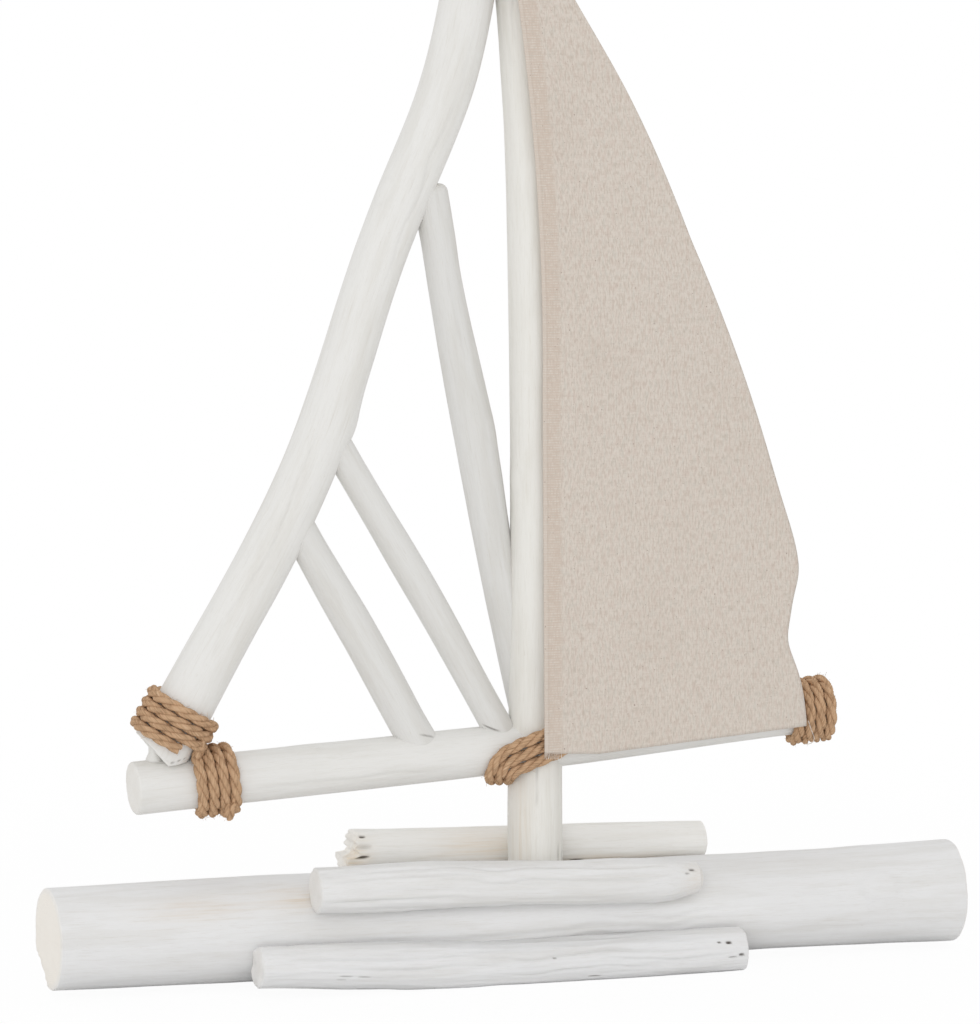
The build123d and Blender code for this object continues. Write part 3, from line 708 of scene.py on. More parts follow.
# Grooves, cracks and holes: dark is the share of the crack colour at their deepest. Cracks and holes
# are dark inside. The long grooves with a dark share of 0.1 or less carry painted shade along them,
# and the marks on the boom under the spar's foot and at the feet of the spar and the struts are
# painted shadow where these sticks meet the boom. A mark with no dark is a dent, or a swell where
# its depth is below 0. Drift turns the angle by so many degrees from the start of the mark to its end.
CrackAndShade = namedtuple("CrackAndShade", "along length angle width depth dark drift", defaults=(0.0,))
CRACKS_AND_SHADE = {
    "hull_log": (
        # Long grooves with painted shade along them.
        CrackAndShade(95.0, 300.0, 8.0, 1.3, 0.7, 0.06),
        CrackAndShade(160.0, 240.0, 19.0, 1.2, 0.7, 0.07),
        CrackAndShade(300.0, 90.0, -3.0, 0.9, 0.6, 0.07),
        CrackAndShade(180.0, 90.0, -58.0, 0.6, 0.5, 0.10),
        CrackAndShade(462.0, 24.0, -6.0, 8.0, -0.7, 0.0),
    ),
    "mast": (
        CrackAndShade(22.0, 28.0, 45.0, 0.4, 1.0, 0.80),
        CrackAndShade(22.0, 12.0, 64.0, 0.6, 0.9, 0.75),
        CrackAndShade(58.0, 36.0, -14.0, 0.35, 0.5, 0.22),
        CrackAndShade(478.0, 60.0, -26.0, 0.6, 0.4, 0.10),
    ),
    "boom": (
        CrackAndShade(55.0, 120.0, 20.0, 0.7, 0.4, 0.06),
        CrackAndShade(240.0, 100.0, 60.0, 0.5, 0.4, 0.10),
        # Painted shadow on the boom under the spar's foot.
        CrackAndShade(8.0, 16.0, -71.0, 0.5, 0.4, 0.55),
    ),
    "spar": (
        CrackAndShade(60.0, 150.0, -20.0, 0.7, 0.4, 0.06),
        CrackAndShade(270.0, 160.0, 15.0, 0.7, 0.4, 0.06),
        # Painted shadow where the spar's foot meets the boom.
        CrackAndShade(1.0, 5.0, 4.0, 1.0, 0.4, 0.60, 48.0),
    ),
    "stick_lower_near": (
        CrackAndShade(261.2, 3.2, -32.8, 0.7, 1.0, 0.85),
        CrackAndShade(266.6, 5.0, -31.0, 1.1, 1.4, 1.00),
        CrackAndShade(275.0, 4.5, 4.6, 1.0, 1.3, 0.85),
        CrackAndShade(267.6, 7.0, 9.0, 0.5, 0.8, 0.60),
        CrackAndShade(45.0, 9.0, 14.0, 0.5, 0.6, 0.45),
        CrackAndShade(55.0, 9.0, 15.0, 0.4, 0.6, 0.40),
        CrackAndShade(44.0, 6.0, 24.0, 0.4, 0.6, 0.30),
        CrackAndShade(186.0, 9.0, 45.0, 0.6, 0.7, 0.60),
        CrackAndShade(165.5, 2.8, -17.4, 0.6, 0.8, 0.55),
        # Long grooves with painted shade along them.
        CrackAndShade(5.0, 120.0, -31.0, 0.9, 0.8, 0.07),
        CrackAndShade(30.0, 110.0, -5.0, 0.8, 0.7, 0.06),
        CrackAndShade(120.0, 145.0, -24.0, 1.0, 0.9, 0.08),
        CrackAndShade(190.0, 85.0, -3.0, 0.8, 0.8, 0.07),
        CrackAndShade(130.0, 100.0, 18.0, 0.8, 0.7, 0.06),
        CrackAndShade(20.0, 110.0, -88.0, 9.0, -1.6, 0.0),
    ),
    "stick_upper_near": (
        CrackAndShade(214.2, 4.6, -38.4, 0.9, 1.1, 0.75),
        CrackAndShade(211.0, 3.6, -25.3, 0.7, 0.8, 0.45),
        # Long grooves with painted shade along them.
        CrackAndShade(4.0, 90.0, -34.0, 0.9, 0.8, 0.07),
        CrackAndShade(60.0, 150.0, -22.0, 0.9, 0.8, 0.07),
        CrackAndShade(5.0, 80.0, 20.0, 0.8, 0.7, 0.06),
        CrackAndShade(20.0, 180.0, -55.0, 0.9, 0.7, 0.06),
        CrackAndShade(50.0, 140.0, 82.0, 11.0, 2.6, 0.0),
    ),
    "stick_upper_far": (
        CrackAndShade(2.0, 8.0, -52.0, 1.0, 1.8, 0.95),
        CrackAndShade(3.0, 11.0, 9.6, 1.1, 1.8, 0.95),
        CrackAndShade(1.0, 14.0, -20.0, 1.4, 1.6, 0.25),
        CrackAndShade(133.5, 10.0, 44.0, 0.8, 0.7, 0.85),
    ),
    # Painted shadow where the struts' feet meet the boom.
    "strut_middle": (CrackAndShade(2.0, 9.0, -6.0, 0.75, 0.4, 0.85, -58.0),),
    "strut_short": (CrackAndShade(0.0, 8.0, 52.0, 0.7, 0.4, 0.60, -50.0),),
}
# Soft patches of colour: strength is how tan a stain is, and how much a patch of painted light lightens
# the wood.
Patch = namedtuple("Patch", "along angle length width strength")
STAINS = {
    "hull_log": (Patch(79.0, -36.0, 26.0, 7.0, 0.45), Patch(138.0, -45.0, 20.0, 7.0, 0.55)),
    "stick_upper_far": (
        Patch(84.0, -10.0, 26.0, 12.0, 0.50),
        Patch(5.0, 10.0, 11.0, 12.0, 0.60),
        Patch(150.0, 42.0, 40.0, 4.0, 0.45),
    ),
    "stick_upper_near": (Patch(215.0, 0.0, 8.0, 12.0, 0.25),),
    "mast": (Patch(48.0, -52.0, 34.0, 6.0, 0.30),),
}
# Painted light on the hull log's near side, in the recess between its upper and lower near sticks, where
# shade falls.
PAINTED_LIGHT_PATCHES = {"hull_log": (Patch(262.0, 2.0, 125.0, 13.0, 0.14), Patch(240.0, 30.0, 120.0, 9.0, 0.13))}
STAIN_EDGE = 2
PAINTED_LIGHT_EDGE = 4

# Rings of an end: shares of the radius on its cap, and places on its worn rim in widths of the rim.
CAP_SHARES = np.array((0.14, 0.32, 0.5, 0.66, 0.8, 0.91))
RIM_STEPS = np.array((0.0, 0.12, 0.35, 0.65))
# How bare the rim is beside the cap, how dark cracks and painted shade are on the cap, and the widest rim
# in radii.
RIM_RAW = 0.6
CAP_HOLLOW = 0.6
WIDEST_WEAR = 0.6
# The CAD end is read at two shares of the radius by rays from inside the stick. Its rim may lie up
# to END_STEP from the inner reading, and its relief fades out along the stick.
END_RIMS = (0.97, 0.86)
END_STEP = 2.2 * MM
END_PROBE = 30 * MM
END_FADE = 34 * MM
# How far from its end a stick bends, and how far a hidden end reaches into the stick that it meets.
BEND_REACH = 48 * MM
HIDDEN_REACH = 3 * MM
# Each stick's colours come from its own stretch of the grain, in metres for each step of its seed.
SEED_SHIFT = 0.7
# The relief lies this share of its depth inside the round form, and its valleys get a little painted
# shade.
SUNK = 0.4
VALLEY_PAINTED_SHADE = 0.05
VALLEY_FROM = 0.55
# A knot is drawn out along the grain, with a shallow crease round it at this share of its width, and a
# little painted shade in the crease.
KNOT_LONG = 0.7
KNOT_FALL = 1.6
CREASE_OUT = 0.62
CREASE_WIDE = 0.13
CREASE_DEEP = 0.1
CREASE_PAINTED_SHADE = 0.02
# Cracks darker than CRISP have crisp edges, and those shorter than SWAY_LENGTH in mm sway less.
CRISP = 0.35
CRISP_GAIN = 1.7
CRISP_CUT = 0.45
CRACK_TAPER = 0.6
SWAY_LENGTH = 60.0
# How far a cooler whitewash goes from its colour in red, green and blue.
COOLER = np.array((-0.1, 0.15, 1.0))

# A stick's points: angle round it, place along it, share of its radius and the radius itself.
Skin = namedtuple("Skin", "theta station share radius")


def stick_skin(stick, axis, wear):
    """Rings of a stick's points from cap to cap, closer together at the worn rims of its ends."""
    start = axis.low - (0 if stick.shows[0] else HIDDEN_REACH - stick.trim[0] * MM)
    finish = axis.high + (0 if stick.shows[1] else HIDDEN_REACH - stick.trim[1] * MM)
    count = int((finish - start - 2 * wear) / (stick.along * MM))
    rim = RIM_STEPS * wear
    middle = np.linspace(start + wear, finish - wear, count)
    sides = np.concatenate((start + rim, middle, finish - rim[::-1]))
    caps = len(CAP_SHARES)
    stations = np.concatenate((np.full(caps, start), sides, np.full(caps, finish)))
    shares = np.concatenate((CAP_SHARES, np.ones(len(sides)), CAP_SHARES[::-1]))
    columns = int(2 * pi * axis.middle_radius / (stick.around * MM))
    theta = np.tile(np.linspace(0, 2 * pi, columns, endpoint=False), (len(stations), 1))
    rings = (stations, shares, axis.radius(stations))
    return Skin(theta, *(np.repeat(values[:, None], columns, axis=1) for values in rings))


def round_points(theta, reach, along):
    """Points of a straight stick at angles round it, distances from its middle and places along it."""
    return np.stack((reach * np.cos(theta), reach * np.sin(theta), along), axis=-1)


def arc_distance(skin, angle):
    """Signed distance in mm round a stick from an angle in degrees."""
    turn = (skin.theta - np.radians(angle) + pi) % (2 * pi) - pi
    return turn * skin.radius / MM


def end_depths(axis, station, way, reach, turn):
    """How far in from the ring at station the CAD end lies, at distances and angles from its centre."""
    run, to_front, to_side = axis.directions(np.array(station))
    centre = axis.centre(np.array(station))
    depths = np.full(reach.size, np.nan)
    outward = np.cos(turn.ravel())[:, None] * to_front + np.sin(turn.ravel())[:, None] * to_side
    origins = centre + reach.ravel()[:, None] * outward - way * END_PROBE * run
    for index, origin in enumerate(origins):
        distance = axis.surface.ray_cast(Vector(origin), Vector(way * run))[3]
        if distance is not None:
            depths[index] = distance - END_PROBE
    return depths.reshape(reach.shape)


def end_shift(stick, axis, skin, reach):
    """How far each point near an end that shows moves along the stick, to lie on the CAD's end."""
    shift = np.zeros_like(reach)
    for index, way in ((0, 1), (-1, -1)):
        if not stick.shows[index]:
            continue
        place = skin.station[index, 0]
        weight = np.clip(1 - np.abs(skin.station - place) / END_FADE, 0, 1) ** 2
        touched = np.nonzero(weight[:, 0])[0]
        turn = skin.theta[touched]
        share, radius = skin.share[touched], skin.radius[touched]
        outer, inner = (
            end_depths(axis, place, way, np.minimum(share, rim) * radius, turn) for rim in END_RIMS
        )
        inner = np.nan_to_num(inner)
        depth = np.where(np.isnan(outer), inner, np.clip(outer, inner - END_STEP, inner + END_STEP))
        flat = round_points(turn, reach[touched], turn * 0)
        sawn = grain_noise(flat, SAWN, stick.seed)
        depth = stick.step * depth + (sawn + stick.trim[index]) * MM
        if index == 0:
            broken = 0.5 + grain_noise(flat, BROKEN, stick.seed)
            depth = depth + stick.splinter * broken * MM + tan(radians(stick.slant)) * flat[..., 0]
        shift[touched] += way * weight[touched] * depth
    return shift


def stick_relief(stick, axis, skin):
    """Height of a stick's surface over its round form, and how far its colour goes to the crack colour:
    the dark of cracks and holes, and painted shade in valleys, creases, grooves and where sticks meet.
    """
    straight = round_points(skin.theta, skin.radius, skin.station)
    lumps = grain_noise(straight, LUMPS, stick.seed)
    ridges = grain_noise(straight, RIDGES, stick.seed)
    grain = grain_noise(straight, FINE_GRAIN, stick.seed)
    relief = (stick.lumps * lumps + stick.ridges * ridges + stick.grain * grain) * MM
    relief = relief - SUNK * (stick.lumps + stick.ridges) * MM
    # Painted shade in the valleys between the ridges.
    crack_dark_and_painted_shade = VALLEY_PAINTED_SHADE * np.clip(-ridges - VALLEY_FROM, 0, 1)
    along = (skin.station - axis.low) / MM
    for knot in KNOTS.get(stick.node, ()):
        away = np.hypot(arc_distance(skin, knot.angle), (along - knot.along) * KNOT_LONG) / knot.width
        swell = np.exp(-(away**2) * KNOT_FALL)
        crease = np.exp(-(((away - CREASE_OUT) / CREASE_WIDE) ** 2))
        relief += (knot.height * swell - CREASE_DEEP * crease) * MM
        # Painted shade in the crease round the knot.
        crack_dark_and_painted_shade += CREASE_PAINTED_SHADE * crease
    wander = grain_noise(straight * (0, 0, 1), SWAY, stick.seed)
    for crack_and_painted_shade in CRACKS_AND_SHADE.get(stick.node, ()):
        share = np.clip((along - crack_and_painted_shade.along) / crack_and_painted_shade.length, 0, 1)
        inside = (along >= crack_and_painted_shade.along) & (along <= crack_and_painted_shade.along + crack_and_painted_shade.length)
        taper = np.where(inside, np.sin(pi * share) ** CRACK_TAPER, 0)
        sway = wander * min(1, crack_and_painted_shade.length / SWAY_LENGTH)
        arc = arc_distance(skin, crack_and_painted_shade.angle + crack_and_painted_shade.drift * share) + sway
        cut = np.exp(-((arc / crack_and_painted_shade.width) ** 2)) * taper
        relief -= crack_and_painted_shade.depth * cut * MM
        crisp = np.clip(cut * CRISP_GAIN - CRISP_CUT, 0, 1)
        # The dark of cracks and holes, and painted shade along grooves and where sticks meet.
        crack_dark_and_painted_shade += crack_and_painted_shade.dark * (crisp if crack_and_painted_shade.dark > CRISP else cut)
    return relief, np.clip(crack_dark_and_painted_shade, 0, 1)


def patch_shares(patches, edge, axis, skin):
    """Strength of each patch over a stick's surface; a higher edge is a harder one."""
    along = (skin.station - axis.low) / MM
    for patch in patches:
        arc = arc_distance(skin, patch.angle)
        away = np.hypot(arc / patch.width, (along - patch.along) / patch.length)
        yield patch.strength * np.exp(-(away**edge))


def stick_colours(stick, axis, skin, end):
    """How stained a stick's surface is, and its tone of painted light and shade in red, green and blue,
    with the bluer whitewash.
    """
    stain = np.zeros_like(end)
    for share in patch_shares(STAINS.get(stick.node, ()), STAIN_EDGE, axis, skin):
        stain += share
    bluer = stick.cool * (1 - end)
    # Painted light and painted shade from the stick's tone, with the cooler whitewash as a tint.
    tone = stick.tone * (1 + bluer[..., None] * COOLER)
    # Painted light in the hull log's recess between its side sticks.
    for share in patch_shares(PAINTED_LIGHT_PATCHES.get(stick.node, ()), PAINTED_LIGHT_EDGE, axis, skin):
        tone *= 1 + share[..., None]
    return np.clip(stain, 0, 1), tone


def with_poles(values):
    """A grid's values in a row, between the means of its first and its last ring."""
    rows, columns = values.shape[:2]
    flat = values.reshape(rows * columns, -1)
    first, last = flat[:columns].mean(axis=0), flat[-columns:].mean(axis=0)
    return np.concatenate((first[None], flat, last[None])).squeeze()


def build_stick(stick, wood, material):
    """One piece of driftwood on its CAD stick's centre line, with relief, marks and worn ends."""
    axis = AXES[stick.node]
    wear = min(wood.wear * stick.worn, WIDEST_WEAR * axis.middle_radius)
    skin = stick_skin(stick, axis, wear)
    relief, crack_dark_and_painted_shade = stick_relief(stick, axis, skin)
    from_end = np.minimum(skin.station - skin.station[0], skin.station[-1] - skin.station)
    lost = np.clip(wear - from_end, 0, wear)
    reach = (skin.radius + relief - (wear - np.sqrt(wear**2 - lost**2))) * skin.share
    place = skin.station + end_shift(stick, axis, skin, reach)
    front, side = axis.directions(place)[1:]
    turned = np.cos(skin.theta)[..., None] * front + np.sin(skin.theta)[..., None] * side
    bend = stick.bend * MM * smoothstep(place, axis.high - BEND_REACH, axis.high)
    points = with_poles(axis.centre(place) + reach[..., None] * turned + bend[..., None] * side)
    points[:, 2] = np.maximum(points[:, 2], 0)

    cap = skin.share < 1
    end = stick.raw * np.where(cap, 1.0, np.clip(1 - from_end / wear, 0, 1) * RIM_RAW)
    stain, tone = stick_colours(stick, axis, skin._replace(station=place), end)
    own_grain = np.array((0.0, 0.0, stick.seed * SEED_SHIFT))
    values = {
        "straight": round_points(skin.theta, reach, place) + own_grain,
        "crack_dark_and_painted_shade": crack_dark_and_painted_shade * np.where(cap, CAP_HOLLOW, 1.0),
        "stain": stain,
        "end": end,
        "tone": tone,
    }
    values = {label: with_poles(value) for label, value in values.items()}
    faces = grid_faces(*skin.theta.shape)
    piece = mesh_object(f"driftwood_{stick.node}", points, faces, values, material)
    place_piece(piece, stick.node)


def build_sticks(context, sticks):
    """Build some sticks, with the driftwood material that all of them share."""
    wood = context.scene.driftwood_wood
    material = bpy.data.materials.get(WOOD) or driftwood_material(wood)
    for stick in sticks:
        build_stick(stick, wood, material)


# Coils of rope round one stick: the coordinate, X (0) or Z (2), and its value in mm where the coil
# has its middle, its turns, their pitch in mm, their lean and the angle of the first in degrees, and
# their way round. A turn with a positive lean is low on the aft side of an upright stick and fore
# under a lying one.
Coil = namedtuple("Coil", "stick coordinate middle turns pitch lean start hand", defaults=(1,))
SPAR_COIL = Coil("spar", 2, 148.2, 3.53, 6.2, -2.0, 12.0, -1)
BOOM_FORE_COIL = Coil("boom", 0, -168.8, 3.33, 6.0, 0.0, -55.0)
BOOM_AFT_COIL = Coil("boom", 0, 170.3, 3.95, 6.2, 6.0, 150.0)
TURN_POINTS = 96
# How far a rope's middle lies from a stick, in rope radii: it is pulled tight into the wood.
TIGHT = 0.94
BELT_WAYS = 120
BELT_POINTS = 90
UPWARD = np.array((0.0, 0.0, 1.0))


def coil_path(coil, rope_radius):
    """Helix of a coil's turns up its stick."""
    axis = AXES[coil.stick]
    turned = np.linspace(0, 2 * pi * coil.turns, int(coil.turns * TURN_POINTS))
    angle = radians(coil.start) + coil.hand * turned
    tipped = -np.sin(angle) * tan(radians(coil.lean))
    climb = coil.pitch * MM * (turned / (2 * pi) - coil.turns / 2)
    stations = axis.station_at(coil.middle * MM, coil.coordinate) + climb
    reach = axis.radius(stations) + rope_radius * TIGHT
    stations = stations + tipped * reach
    _, front, side = axis.directions(stations)
    outward = np.cos(angle)[:, None] * front + np.sin(angle)[:, None] * side
    return axis.centre(stations) + reach[:, None] * outward


def belt(nodes, height, margin):
    """Level line of even points round some CAD nodes, a margin outside them, from their far side."""
    points = np.concatenate([section_points(*node_arrays(node), UPWARD, height) for node in nodes])
    angle = np.linspace(0, 2 * pi, BELT_WAYS, endpoint=False)
    ways = np.stack((-np.sin(angle), np.cos(angle), np.zeros(BELT_WAYS)), axis=1)
    line = points[np.argmax(ways @ points.T, axis=1)] + margin * ways
    line = np.concatenate((line, line[:1]))
    lengths = np.concatenate(((0,), np.cumsum(np.linalg.norm(np.diff(line, axis=0), axis=1))))
    places = np.linspace(0, lengths[-1], BELT_POINTS, endpoint=False)
    return np.stack([np.interp(places, lengths, values) for values in line.T], axis=1)


def belt_path(nodes, heights, margin):
    """Rope wound round some nodes, one turn in each gap between the heights."""
    belts = [belt(nodes, height, margin) for height in heights]
    share = np.arange(BELT_POINTS)[:, None] / BELT_POINTS
    return np.concatenate([low + (high - low) * share for low, high in zip(belts, belts[1:])])


def softened(path, rounds):
    """A path with its corners eased by averaging each point with its neighbours."""
    for _ in range(rounds):
        path = np.concatenate((path[:1], (path[:-2] + 2 * path[1:-1] + path[2:]) / 4, path[-1:]))
    return path


def spline_through(points, count):
    """Smooth line through points, as a Catmull-Rom spline."""
    points = np.asarray(points, float)
    whole = np.concatenate((2 * points[:1] - points[1:2], points, 2 * points[-1:] - points[-2:-1]))
    t = np.linspace(0, 1, count, endpoint=False)[:, None]
    found = []
    for start in range(len(points) - 1):
        p0, p1, p2, p3 = whole[start:start + 4]
        cubic = t * (3 * (p1 - p2) + p3 - p0)
        found.append(p1 + 0.5 * t * (p2 - p0 + t * (2 * p0 - 5 * p1 + 4 * p2 - p3 + cubic)))
    return np.concatenate((*found, points[-1:]))


def new_tree(name, inputs):
    """A geometry tree with named inputs, its first node and the identifiers of the inputs."""
    tree = bpy.data.node_groups.new(name, "GeometryNodeTree")
    tree.interface.new_socket("Geometry", in_out="INPUT", socket_type="NodeSocketGeometry")
    sockets = {}
    for label, kind in inputs.items():
        socket = tree.interface.new_socket(label, in_out="INPUT", socket_type=f"NodeSocket{kind}")
        sockets[label] = socket.identifier
    tree.interface.new_socket("Geometry", in_out="OUTPUT", socket_type="NodeSocketGeometry")
    return tree, add_node(tree, "NodeGroupInput"), sockets


def finish_tree(tree, geometry, material):
    """End a geometry tree with real, smooth faces of one material."""
    whole = geometry.node("GeometryNodeRealizeInstances", None, {0: geometry})
    whole = whole.node("GeometryNodeSetShadeSmooth", None, {0: whole})
    whole = whole.node("GeometryNodeSetMaterial", None, {"Geometry": whole, "Material": material})
    result = tree.nodes.new("NodeGroupOutput")
    tree.links.new(whole.socket, result.inputs[0])


def store(geometry, label, value):
    """Keep a value on the points of a geometry, for its material."""
    return geometry.node(
        "GeometryNodeStoreNamedAttribute", {"data_type": "FLOAT", "domain": "POINT"},
        {"Geometry": geometry, "Name": label, "Value": value},
    )


def circle(lines, resolution, radius):
    inputs = {"Resolution": resolution, "Radius": radius}
    return lines.node("GeometryNodeCurvePrimitiveCircle", None, inputs)


def tube(curve, profile, caps):
    inputs = {"Curve": curve, "Profile Curve": profile, "Fill Caps": caps}
    return curve.node("GeometryNodeCurveToMesh", None, inputs)


ROPE_STEP = 0.9 * MM
# Distance of the strands from the rope's middle, and their radius, in rope diameters.
STRAND_OUT = 0.26
STRAND_RADIUS = 0.285
STRAND_TWIST = 11 * MM
STRAND_CORNERS = 14
YARNS = 7
YARN_DEPTH = 0.055
# A loose fibre one unit long, which its own length scales.
LOOSE_FIBRE = {
    "Resolution": 4, "Start": (0, 0, 0), "Start Handle": (0.25, 0, 0.1),
    "End Handle": (0.6, 0.1, 0.12), "End": (1.0, 0.05, 0.34),
}
LOOSE_RADIUS = 0.026
LOOSE_CORNERS = 3
SHORTEST_LOOSE = 0.35
LOOSE_TURN = (0.5, 0.5, pi)
THREAD_CORNERS = 6


def rope_tree(material):
    """Geometry nodes that lay twisted strands and loose fibres along each line of a mesh."""
    tree, lines, sockets = new_tree("twisted_rope", {
        "Diameter": "Float", "Lay": "Float", "Strands": "Int", "Fuzz": "Float",
        "Fuzz density": "Float", "Seed": "Int",
    })
    diameter, lay, strands, fuzz, density, seed = (lines.other(label) for label in sockets)

    curve = lines.node("GeometryNodeMeshToCurve", None, {0: lines})
    evenly = {"Curve": curve, "Length": ROPE_STEP}
    curve = lines.node("GeometryNodeResampleCurve", {"mode": "LENGTH"}, evenly)
    amounts = {"Geometry": curve, "Amount": strands}
    copies = lines.node("GeometryNodeDuplicateElements", {"domain": "SPLINE"}, amounts)
    copy = copies.other("Duplicate Index")
    length = lines.node("GeometryNodeSplineParameter", output="Length")
    angle = length / lay * (-2 * pi) + copy / strands * (2 * pi)
    normal = lines.node("GeometryNodeInputNormal")
    tangent = lines.node("GeometryNodeInputTangent")
    sideways = tangent.vector_maths("CROSS_PRODUCT", {1: normal})
    around = normal.scaled(angle.cosine()).vector_maths("ADD", {1: sideways.scaled(angle.sine())})
    offset = around.scaled(diameter * STRAND_OUT)
    laid = lines.node("GeometryNodeSetPosition", None, {"Geometry": copies, "Offset": offset})
    laid = store(store(laid, "along", length), "strand", copy * 1.0)
    twist = length / STRAND_TWIST * (2 * pi)
    laid = lines.node("GeometryNodeSetCurveTilt", None, {"Curve": laid, "Tilt": twist})

    profile = circle(lines, STRAND_CORNERS, diameter * STRAND_RADIUS)
    factor = lines.node("GeometryNodeSplineParameter")
    yarn = (factor * (2 * pi * YARNS)).cosine() * YARN_DEPTH + 1.0
    bumpy = lines.node("GeometryNodeInputPosition").scaled(yarn)
    profile = lines.node("GeometryNodeSetPosition", None, {"Geometry": profile, "Position": bumpy})
    body = tube(laid, store(profile, "around", factor), True)

    scatter = lines.node(
        "GeometryNodeDistributePointsOnFaces", {"distribute_method": "RANDOM"},
        {"Mesh": body, "Density": density, "Seed": seed},
    )
    hair_line = lines.node("GeometryNodeCurvePrimitiveBezierSegment", None, LOOSE_FIBRE)
    hair = tube(hair_line, circle(lines, LOOSE_CORNERS, LOOSE_RADIUS), False)
    tumble = lines.node(
        "FunctionNodeRandomValue", {"data_type": "FLOAT_VECTOR"},
        {0: tuple(-turn for turn in LOOSE_TURN), 1: LOOSE_TURN, "Seed": seed},
    )
    grown = lines.node(
        "FunctionNodeRandomValue", {"data_type": "FLOAT"},
        {2: SHORTEST_LOOSE, 3: 1.0, "Seed": seed}, output=1,
    )
    turned = lines.node(
        "FunctionNodeRotateRotation", {"rotation_space": "LOCAL"},
        {0: scatter.other("Rotation"), 1: tumble},
    )
    hairs = lines.node(
        "GeometryNodeInstanceOnPoints", None,
        {"Points": scatter, "Instance": hair, "Rotation": turned, "Scale": grown * fuzz},
    )
    joined = lines.node("GeometryNodeJoinGeometry")
    for part in (body, hairs):
        tree.links.new(part.socket, joined.socket.node.inputs[0])
    finish_tree(tree, joined, material)
    return tree, sockets


def thread_tree(material):
    """Geometry nodes that make a loose thread of each line of a mesh."""
    tree, lines, sockets = new_tree("loose_threads", {"Thickness": "Float"})
    curve = lines.node("GeometryNodeMeshToCurve", None, {0: lines})
    profile = circle(lines, THREAD_CORNERS, lines.other("Thickness") * 0.5)
    finish_tree(tree, tube(curve, profile, True), material)
    return tree, sockets


def line_object(name, paths):
    """An object whose mesh is one open line for each path."""
    edges = []
    start = 0
    for path in paths:
        edges += [(start + step, start + step + 1) for step in range(len(path) - 1)]
        start += len(path)
    lines = bpy.data.meshes.new(name + "_lines")
    lines.from_pydata(np.concatenate(paths).tolist(), edges, [])
    return link_object(name, lines)


def make_plain(piece):
    """Turn a piece's modifiers into plain mesh."""
    graph = bpy.context.evaluated_depsgraph_get()
    mesh = bpy.data.meshes.new_from_object(piece.evaluated_get(graph))
    piece.modifiers.clear()
    piece.data = mesh
    mesh.name = piece.name


def run_tree(piece, tree, sockets, values):
    """Put a piece through a geometry tree with values for its inputs, into plain mesh."""
    modifier = piece.modifiers.new(tree.name, "NODES")
    modifier.node_group = tree
    for label, value in values.items():
        modifier[sockets[label]] = value
    make_plain(piece)


